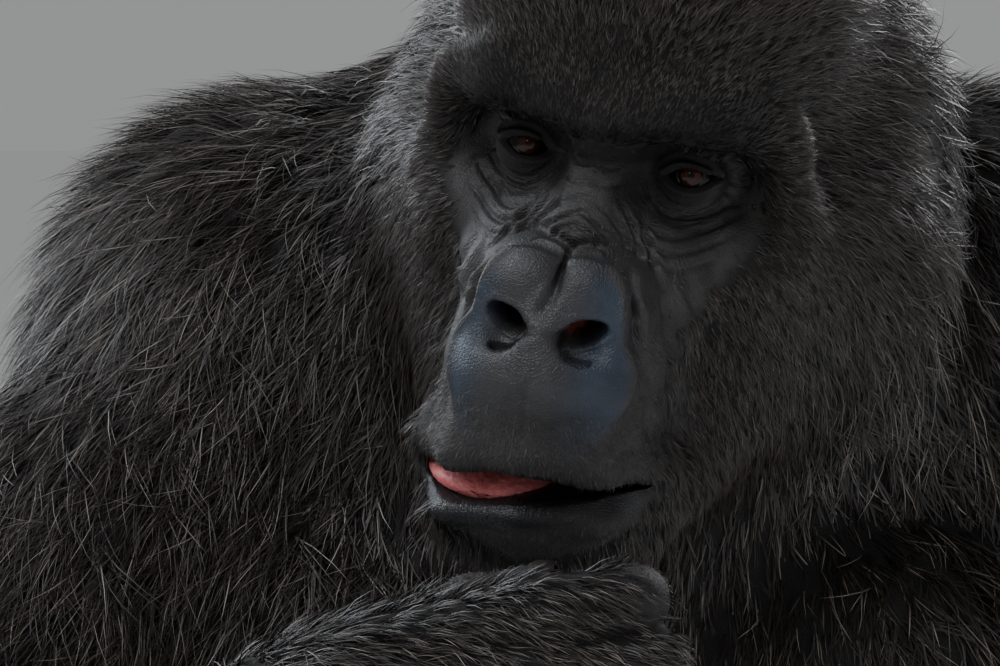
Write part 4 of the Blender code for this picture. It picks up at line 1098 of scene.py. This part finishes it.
def scattered(surface, density, count):  # roots spread by area times density, anywhere in a triangle
    points, normals, corners, _, areas = surface
    share = np.cumsum(areas * density)
    count = int(count)
    chosen = np.searchsorted(share, random.random(count) * share[-1])
    a, b = random.random(count), random.random(count)
    over = a + b > 1
    a[over], b[over] = 1 - a[over], 1 - b[over]
    weights = np.stack([1 - a - b, a, b], 1)[:, :, None]
    return (points[corners[chosen]] * weights).sum(1), unit((normals[corners[chosen]] * weights).sum(1))


def turnedAbout(vectors, axes, angles):  # v cos a + (axis x v) sin a, for v square to the axis
    return vectors * np.cos(angles)[:, None] + np.cross(axes, vectors) * np.sin(angles)[:, None]


hairColours = {
    "black": "#0B0908", "dark": "#181412", "red": "#2E1A12", "brown": "#3A302A", "pale": "#968D84",
    "grey": "#8E8C8C", "silver": "#6A6663", "silverTip": "#A5A19C",
}
hairShares = {"pale": 0.15, "red": 0.55, "grey": 0.55, "paintedBrowShade": 0.9}


def hairMarkings(points, shade):  # root and tip colours: black, red-brown on the crown, silver on the saddle, and painted shade on the tips under the brow
    inHead = toHead(points)
    half, back, up = np.abs(inHead[:, :1]), inHead[:, 1:2], inHead[:, 2:3]
    tones = tonesOf(hairColours)
    headShare = smoothStep(0.235, 0.190, distance(inHead))[:, None]
    root = toward(tones["black"], tones["dark"], shade[:, None])
    root = toward(root, tones["red"], hairShares["red"], smoothStep(0.060, 0.130, up) * headShare)
    lit = random.random((len(points), 1))
    tip = toward(root, tones["brown"], 0.25 + 0.45 * lit)
    # a few hairs are pale, less so at the front of the head, and those low on its sides and back are greyer
    pale = (random.random((len(points), 1)) < hairShares["pale"]) * (0.4 + 0.6 * lit)
    pale *= 1 - 0.55 * headShare * smoothStep(0.110, 0.060, back)
    tip = toward(tip, tones["pale"], pale)
    behind = smoothStep(0.085, 0.125, back) * smoothStep(0.10, 0.02, up) * headShare
    tip = toward(tip, tones["grey"], hairShares["grey"], behind, lit)
    # painted shade: the tips under the brow's overhang are darkened towards black
    browShadeOnHair = smoothStep(0.036, 0.024, up - 0.25 * half) * (up > 0)
    browShadeOnHair = browShadeOnHair * smoothStep(0.075, 0.060, half) * (back < 0.02) * headShare
    tip = toward(tip, tones["black"] * 0.6, hairShares["paintedBrowShade"], browShadeOnHair)
    silver = silverness(points)[:, None]
    root = toward(root, tones["silver"], silver, 0.6 + 0.4 * lit)
    tip = toward(tip, tones["silverTip"], silver, 0.65 + 0.35 * lit)
    return root, tip


def grownTufts(roots, normals, mixed, shape):
    # centre line r + L (t (1 - t/2) d0 + t^2/2 d1) - sag t^2, with the strands of a tuft closing in on its tip
    strands, steps = shape["strands"], shape["steps"]
    count = len(roots)
    lie = mixed["lie"] - (mixed["lie"] * normals).sum(1, keepdims=True) * normals
    lie = unit(turnedAbout(unit(lie), normals, random.normal(0, shape["stray"], count)))
    aside = np.cross(normals, lie)
    shade, size = random.random(count), random.uniform(*uneven["tuft"], count)
    repeat = np.repeat(np.arange(count), strands)
    total = len(repeat)
    spread = mixed["length"][repeat] * shape["spread"]
    offset = (aside[repeat] * random.normal(0, 1, (total, 1)) + lie[repeat] * random.normal(0, 1, (total, 1)))
    offset *= spread[:, None] * 0.6
    up = normals[repeat]
    flow = unit(turnedAbout(lie[repeat], up, random.normal(0, shape["stray"] * 0.6, total)))
    lift = np.radians(mixed["lift"][repeat] * random.uniform(*uneven["lift"], total))
    first = flow * np.cos(lift)[:, None] + up * np.sin(lift)[:, None]
    last = flow * np.cos(lift * 0.25)[:, None] + up * np.sin(lift * 0.25)[:, None]
    length = mixed["length"][repeat] * size[repeat] * random.uniform(*uneven["length"], total)
    width = mixed["width"][repeat] * random.uniform(*uneven["width"], total)
    cross = unit(turnedAbout(np.cross(first, up), unit(first), random.normal(0, uneven["twist"], total)))
    bend = random.normal(0, shape["bend"], total)[:, None] * np.cross(up, flow)
    base = roots[repeat] + offset - up * uneven["sunk"]
    rows, share = [], []
    for t in np.linspace(0, 1, steps + 1) ** 0.9:
        centre = base - offset * shape["close"] * t + length[:, None] * (
            first * t * (1 - t / 2) + last * t * t / 2 + bend * t * t - np.array((0, 0, shape["sag"])) * t * t)
        if t < 1:
            half = (width * 0.5 * (1 - t ** 1.6))[:, None]
            rows += [centre - cross * half, centre + cross * half]
            share += [t, t]
        else:
            rows.append(centre)
            share.append(1.0)
    points, share = np.stack(rows, 1), np.array(share)
    # two triangles between one pair of points and the next, and one at the tip
    pattern = []
    for low in range(0, 2 * steps - 2, 2):
        pattern += [(low, low + 1, low + 3), (low, low + 3, low + 2)]
    pattern.append((2 * steps - 2, 2 * steps - 1, 2 * steps))
    rootTone, tipTone = hairMarkings(roots[repeat], shade[repeat])
    blend = np.clip((share - 0.20) / 0.65, 0, 1)[None, :, None]
    tone = rootTone[:, None] * (1 - blend) + tipTone[:, None] * blend
    return points, np.array(pattern), tone, roots[repeat], share


def hairMaterial():  # coarse outer hair, dry and slightly glossy along its length
    made, tree = newMaterial("coarse gorilla hair")
    tint = addNode(tree, "Attribute", {"attribute_name": "hairColour"})
    shader = addNode(tree, "BsdfPrincipled", {"Roughness": 0.48, "Specular IOR Level": 0.35, "IOR": 1.55},
                     {"Base Color": tint.outputs["Color"]})
    surface(tree, shader)
    return made


def aroundAxis(roots):  # angle about the piece's long axis, and length along it, both 0 to 1
    centre = roots.mean(0)
    _, _, axes = np.linalg.svd((roots - centre)[:: max(1, len(roots) // 4000)], full_matrices=False)
    local = (roots - centre) @ axes.T
    angle = np.arctan2(local[:, 2], local[:, 1]) / (2 * math.pi) + 0.5
    lengthwise = (local[:, 0] - local[:, 0].min()) / (np.ptp(local[:, 0]) + 1e-9)
    return np.stack([angle, lengthwise], 1) * 0.99 + 0.004


hairLook = hairMaterial()


# many strands as one mesh, with their colours and OFBake map; gives the count of its faces
def hairPiece(name, points, pattern, tone, roots, share):
    strands, each = points.shape[:2]
    mesh = bpy.data.meshes.new(name)
    corners = (np.arange(strands)[:, None, None] * each + pattern[None]).reshape(-1)
    faces = len(corners) // 3
    mesh.vertices.add(strands * each)
    mesh.vertices.foreach_set("co", points.astype(np.float32).ravel())
    mesh.loops.add(len(corners))
    mesh.loops.foreach_set("vertex_index", corners.astype(np.int32))
    mesh.polygons.add(faces)
    mesh.polygons.foreach_set("loop_start", np.arange(faces, dtype=np.int32) * 3)
    mesh.polygons.foreach_set("use_smooth", np.ones(faces, bool))
    mesh.update(calc_edges=True)
    sideways = np.array([(-1.0, 1.0)[i % 2] for i in range(each - 1)] + [0.0])
    patch = np.stack([sideways * coat["patch"] / 2, share * coat["patch"]], 1)
    map2d = (aroundAxis(roots)[:, None, :] + patch[None]).reshape(-1, 2)[corners]
    mesh.uv_layers.new(name="OFBake").data.foreach_set("uv", map2d.astype(np.float32).ravel())
    setAttribute(mesh, "hairColour", tone.reshape(-1, 3), "FLOAT_COLOR")
    mesh.materials.append(hairLook)
    item = newObject(name, mesh)
    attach(item, "root")
    return faces


# strands to a square metre = cover / (length x width x strandArea), as fine tufts where the hair is short
def growCoat(item):
    guides = headGuides() + bodyGuides()
    names = np.array([row["part"] for row in guides])
    surface = surfaceOf(item)
    middles, areas = surface[3], surface[4]
    mixed = combed(middles, guides)
    furred = 1 - bareness(middles)
    furred *= smoothStep(0.004, 0.020, middles[:, 2])
    shortHair = mixed["length"] < coat["fineBelow"]
    total = 0
    for label, chosen in (("fine", shortHair), ("long", ~shortHair)):
        shape = coat[label]
        density = furred * chosen * mixed["cover"] / (mixed["length"] * mixed["width"] * coat["strandArea"])
        strands = (areas * density).sum() * coat["thin"]
        roots, normals = scattered(surface, density, strands / shape["strands"])
        local = combed(roots, guides)
        points, pattern, tone, rootOf, share = grownTufts(roots, normals, local, shape)
        points[:, :, 2] = np.maximum(points[:, :, 2], 0.0005)
        partNames = np.repeat(names[local["nearest"]], shape["strands"])
        for part in sorted(set(partNames)):
            picked = np.flatnonzero(partNames == part)
            picked = picked[np.argsort(rootOf[picked, 0], kind="stable")]
            pieces = max(1, math.ceil(len(picked) * len(pattern) / coat["mostTriangles"]))
            for i, some in enumerate(np.array_split(picked, pieces)):
                faces = hairPiece(f"coat_{part}_{label}_{i + 1}", points[some], pattern, tone[some],
                                  rootOf[some], share)
                total += faces
                print("coat", part, label, i + 1, faces)
    return total


stubble = {
    "count": 17000,
    "length": (0.0026, 0.0056),
    "lift": 36.0,
    "width": 0.00030,
    "shape": {"strands": 1, "steps": 2, "stray": 0.35, "spread": 0.0, "close": 0.0, "bend": 0.1, "sag": 0.0},
}


def growStubble(item):  # sparse short hairs on the bare face, denser on the upper lip and the chin
    surface = surfaceOf(item)
    middles = surface[3]
    inHead = toHead(middles)
    half, up = np.abs(inHead[:, 0]), inHead[:, 2]
    bare = bareness(middles) * onHead(inHead) * (inHead[:, 1] < 0.030)
    pad, _ = noseHeight(inHead[:, 0], up)
    lip = smoothStep(-0.085, -0.105, up)
    density = bare * (1 - 0.97 * pad * smoothStep(-0.09, -0.075, up)) * (0.10 + 0.9 * lip)
    density *= 1 - smoothStep(0.024, 0.016, np.hypot(half - eyes["apart"] / 2, up)) * 0.8
    density *= 1 - lipShare(inHead[:, 0], up + hangs(inHead + (0, 0, 0.006)))
    roots, normals = scattered(surface, density, stubble["count"] * coat["thin"])
    local = toHead(roots)
    side = np.sign(local[:, 0]) * smoothStep(0, 0.03, np.abs(local[:, 0]))
    lie = np.stack([0.5 * side, 0.2 + 0 * side, -1 + 0 * side], 1) @ headMatrix.T
    count = len(roots)
    mixed = {"lie": lie, "length": random.uniform(*stubble["length"], count),
             "lift": np.full(count, stubble["lift"]), "width": np.full(count, stubble["width"])}
    points, pattern, tone, rootOf, share = grownTufts(roots, normals, mixed, stubble["shape"])
    return hairPiece("stubble", points, pattern, tone * 1.1 + 0.006, rootOf, share)


def gridMesh(name, points):  # a grid of rows as quads, closed around each row
    rows, columns = points.shape[:2]
    index = np.arange(rows * columns).reshape(rows, columns)
    index = np.concatenate([index, index[:, :1]], 1)
    faces = np.stack([index[:-1, :-1], index[:-1, 1:], index[1:, 1:], index[1:, :-1]], -1).reshape(-1, 4)
    mesh = bpy.data.meshes.new(name)
    mesh.from_pydata(points.reshape(-1, 3).tolist(), [], faces.tolist())
    mesh.shade_smooth()
    return mesh


# directions (sin a cos t, sin a sin t, cos a), where each ring's angle a is from the z axis
def ballGrid(rings, columns):
    angle, turn = np.meshgrid(rings, np.linspace(0, 2 * math.pi, columns, endpoint=False), indexing="ij")
    level = np.sin(angle)
    return angle, turn, np.stack([level * np.cos(turn), level * np.sin(turn), np.cos(angle)], -1)


def outward(mesh):  # merges doubles and turns every face outwards
    bm = bmesh.new()
    bm.from_mesh(mesh)
    bmesh.ops.remove_doubles(bm, verts=bm.verts, dist=1e-6)
    bmesh.ops.recalc_face_normals(bm, faces=bm.faces)
    bm.to_mesh(mesh)
    bm.free()
    mesh.shade_smooth()


eyeColours = {"pupil": "#020101", "inner": "#32130A", "outer": "#1A0905", "rim": "#080403", "white": "#0A0605"}
iris = {"radius": 0.0056, "pupil": 0.0015, "cornea": 0.0010, "look": (-0.012, -1.0, 0.02)}


# wet eyeball: brown-black white of the eye, red-brown iris and black pupil under a clear cornea
def eyeMaterial():
    made, tree = newMaterial("wet eye")
    tint = addNode(tree, "Attribute", {"attribute_name": "eyeColour"})
    shader = addNode(tree, "BsdfPrincipled", {"Roughness": 0.5, "Specular IOR Level": 0.05, "IOR": 1.38,
                                              "Coat Weight": 0.5, "Coat Roughness": 0.02, "Coat IOR": 1.38},
                     {"Base Color": tint.outputs["Color"]})
    surface(tree, shader)
    return made


def buildEye(side, sign, look):
    # rings about the line of sight; radius R plus a bulge c cos^2 over the iris
    rings = np.concatenate([np.linspace(0, 0.62, 40), np.linspace(0.66, math.pi, 36)])
    angle, turn, local = ballGrid(rings, 64)
    edge = math.asin(iris["radius"] / eyes["radius"])
    bulge = np.clip(np.cos(angle / edge * math.pi / 2), 0, 1) * (angle < edge)
    radius = eyes["radius"] - 0.0002 + iris["cornea"] * bulge
    forward = unit(iris["look"])
    right = unit(np.cross(forward, (0, 0, 1)))
    up = np.cross(right, forward)
    world = radius[..., None] * (local[..., 0:1] * right + local[..., 1:2] * up + local[..., 2:3] * forward)
    centre = fromHead((sign * eyes["apart"] / 2, 0, 0))
    mesh = gridMesh("eyeball_" + side, centre + world)
    spots = np.linalg.norm(local[..., :2], axis=-1) * eyes["radius"]
    tones = tonesOf(eyeColours)
    streak = 0.85 + 0.15 * np.sin(turn * 31 + 3 * np.sin(turn * 7)) * np.cos(turn * 13)
    share = np.clip((spots - iris["pupil"]) / (iris["radius"] - iris["pupil"]), 0, 1)[..., None]
    colour = (tones["inner"] * (1 - share) + tones["outer"] * share) * streak[..., None]
    pupil = smoothStep(iris["pupil"] + 0.0002, iris["pupil"] - 0.0002, spots)
    rim = smoothStep(iris["radius"] - 0.0012, iris["radius"] - 0.0002, spots)
    white = np.maximum(smoothStep(iris["radius"], iris["radius"] + 0.0006, spots), angle > 1.2)
    for name, part in (("pupil", pupil), ("rim", rim), ("white", white)):
        colour = toward(colour, tones[name], part[..., None])
    setAttribute(mesh, "eyeColour", colour.reshape(-1, 3), "FLOAT_COLOR")
    outward(mesh)
    mesh.materials.append(look)
    item = newObject("eyeball_" + side, mesh)
    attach(item, "root")
    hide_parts("eye_" + side)


tongue = {"centre": (-0.020, -0.040, -0.1400), "size": (0.034, 0.040, 0.0110), "furrow": 0.0022,
          "grain": 0.0006, "dark": "#A8404A", "light": "#E58C88"}


def tongueMaterial():  # wet, rough-topped flesh
    made, tree = newMaterial("wet tongue")
    place = addNode(tree, "TexCoord").outputs["Object"]
    grain = addNode(tree, "TexNoise", {"Scale": 420, "Detail": 4, "Roughness": 0.65}, {"Vector": place})
    ramp = addNode(tree, "Mix", {"data_type": "RGBA"}, {"Factor": grain.outputs["Fac"]})
    ramp.inputs[6].default_value = (*linear(tongue["dark"]), 1)
    ramp.inputs[7].default_value = (*linear(tongue["light"]), 1)
    relief = addNode(tree, "Bump", {"Strength": 0.8, "Distance": 0.0012}, {"Height": grain.outputs["Fac"]})
    shader = addNode(tree, "BsdfPrincipled",
                     {"Roughness": 0.38, "Subsurface Weight": 0.15, "Subsurface Scale": 0.004},
                     {"Base Color": ramp.outputs[2], "Normal": relief.outputs["Normal"]})
    surface(tree, shader)
    return made


def buildTongue():  # an ellipsoid with a furrow along its middle
    _, _, local = ballGrid(np.linspace(0, math.pi, 48), 96)
    points = local * tongue["size"] + tongue["centre"]
    across, back = points[..., 0], points[..., 1]
    points[..., 2] -= tongue["furrow"] * bell(across, tongue["centre"][0], 0.005) * (local[..., 2] > 0)
    points[..., 2] += tongue["grain"] * np.sin(across * 900) * np.sin(back * 1100)
    mesh = gridMesh("tongue_flesh", fromHead(points))
    outward(mesh)
    mesh.materials.append(tongueMaterial())
    item = newObject("tongue_flesh", mesh)
    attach(item, "root")
    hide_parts("tongue")


nail = {"length": 0.0135, "thick": 0.0012, "colour": "#221E1C", "roughness": 0.32}


def nailMaterial():  # dark horn, worn smooth
    made, tree = newMaterial("black nail horn")
    surface(tree, addNode(tree, "BsdfPrincipled", {"Base Color": (*linear(nail["colour"]), 1),
                                                   "Roughness": nail["roughness"]}))
    return made


def buildNails():
    # a plate curved across the fingertip, x = r sin u and z = r cos u, narrowing a little to its free edge
    bm = bmesh.new()
    rows = []
    for ends, flips, curled in ((rightFingers[2::3], (1,), True), (rightThumb[1::2], (1,), False),
                                (leftFingers[2::3], (1,), False), (leftThumb[1::2], (1,), False),
                                (toes[1::2], (1, -1), False), (bigToe[1::2], (1, -1), False)):
        rows += [(form, side, curled) for form in ends for side in flips]
    for form, side, curled in rows:
        flip = np.array((side, 1, 1))
        tip, back = form["end"] * flip, form["start"] * flip
        forward = unit(tip - back)
        hint = (0, 1.0, 0.2) if curled else (0, 0, 1.0) if abs(forward[2]) < 0.8 else (0, 1.0, 0)
        across = unit(np.cross(forward, hint))
        up = np.cross(across, forward)
        scale = form["to"] / 0.012
        u, v = np.meshgrid(np.linspace(-1.05, 1.05, 9), np.linspace(-0.35, 1, 7), indexing="ij")
        radius = form["to"] + 0.0004
        bow = radius * (1 - 0.12 * v ** 2)
        points = (tip + forward * (v * nail["length"] * 0.62 * scale)[..., None]
                  + across * (bow * np.sin(u * 0.72))[..., None] + up * (bow * np.cos(u * 0.72))[..., None]
                  - up * (0.0016 * scale * np.clip(v, 0, 1) ** 2)[..., None])
        inner = points - up * nail["thick"]
        both = np.concatenate([points, inner[:, ::-1]], 1)
        verts = [[bm.verts.new(place) for place in row] for row in both]
        for row, following in zip(verts, verts[1:]):
            for j in range(len(row)):
                k = (j + 1) % len(row)
                bm.faces.new((row[j], row[k], following[k], following[j]))
        for row in (verts[0], verts[-1]):
            bm.faces.new(row)
    mesh = bpy.data.meshes.new("nails")
    bmesh.ops.recalc_face_normals(bm, faces=bm.faces)
    bm.to_mesh(mesh)
    bm.free()
    mesh.materials.append(nailMaterial())
    item = newObject("nails", mesh)
    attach(item, "root")


paintSkin(skinPiece)
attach(skinPiece, "root")
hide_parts(*[name for name in nodes if name not in ("eye_l", "eye_r", "tongue")])
eyeLook = eyeMaterial()
for side, sign in (("l", 1), ("r", -1)):
    buildEye(side, sign, eyeLook)
buildTongue()
buildNails()
print("eyes, tongue and nails")
print("coat in all", growCoat(skinPiece) + growStubble(skinPiece), "triangles")
buildStage()
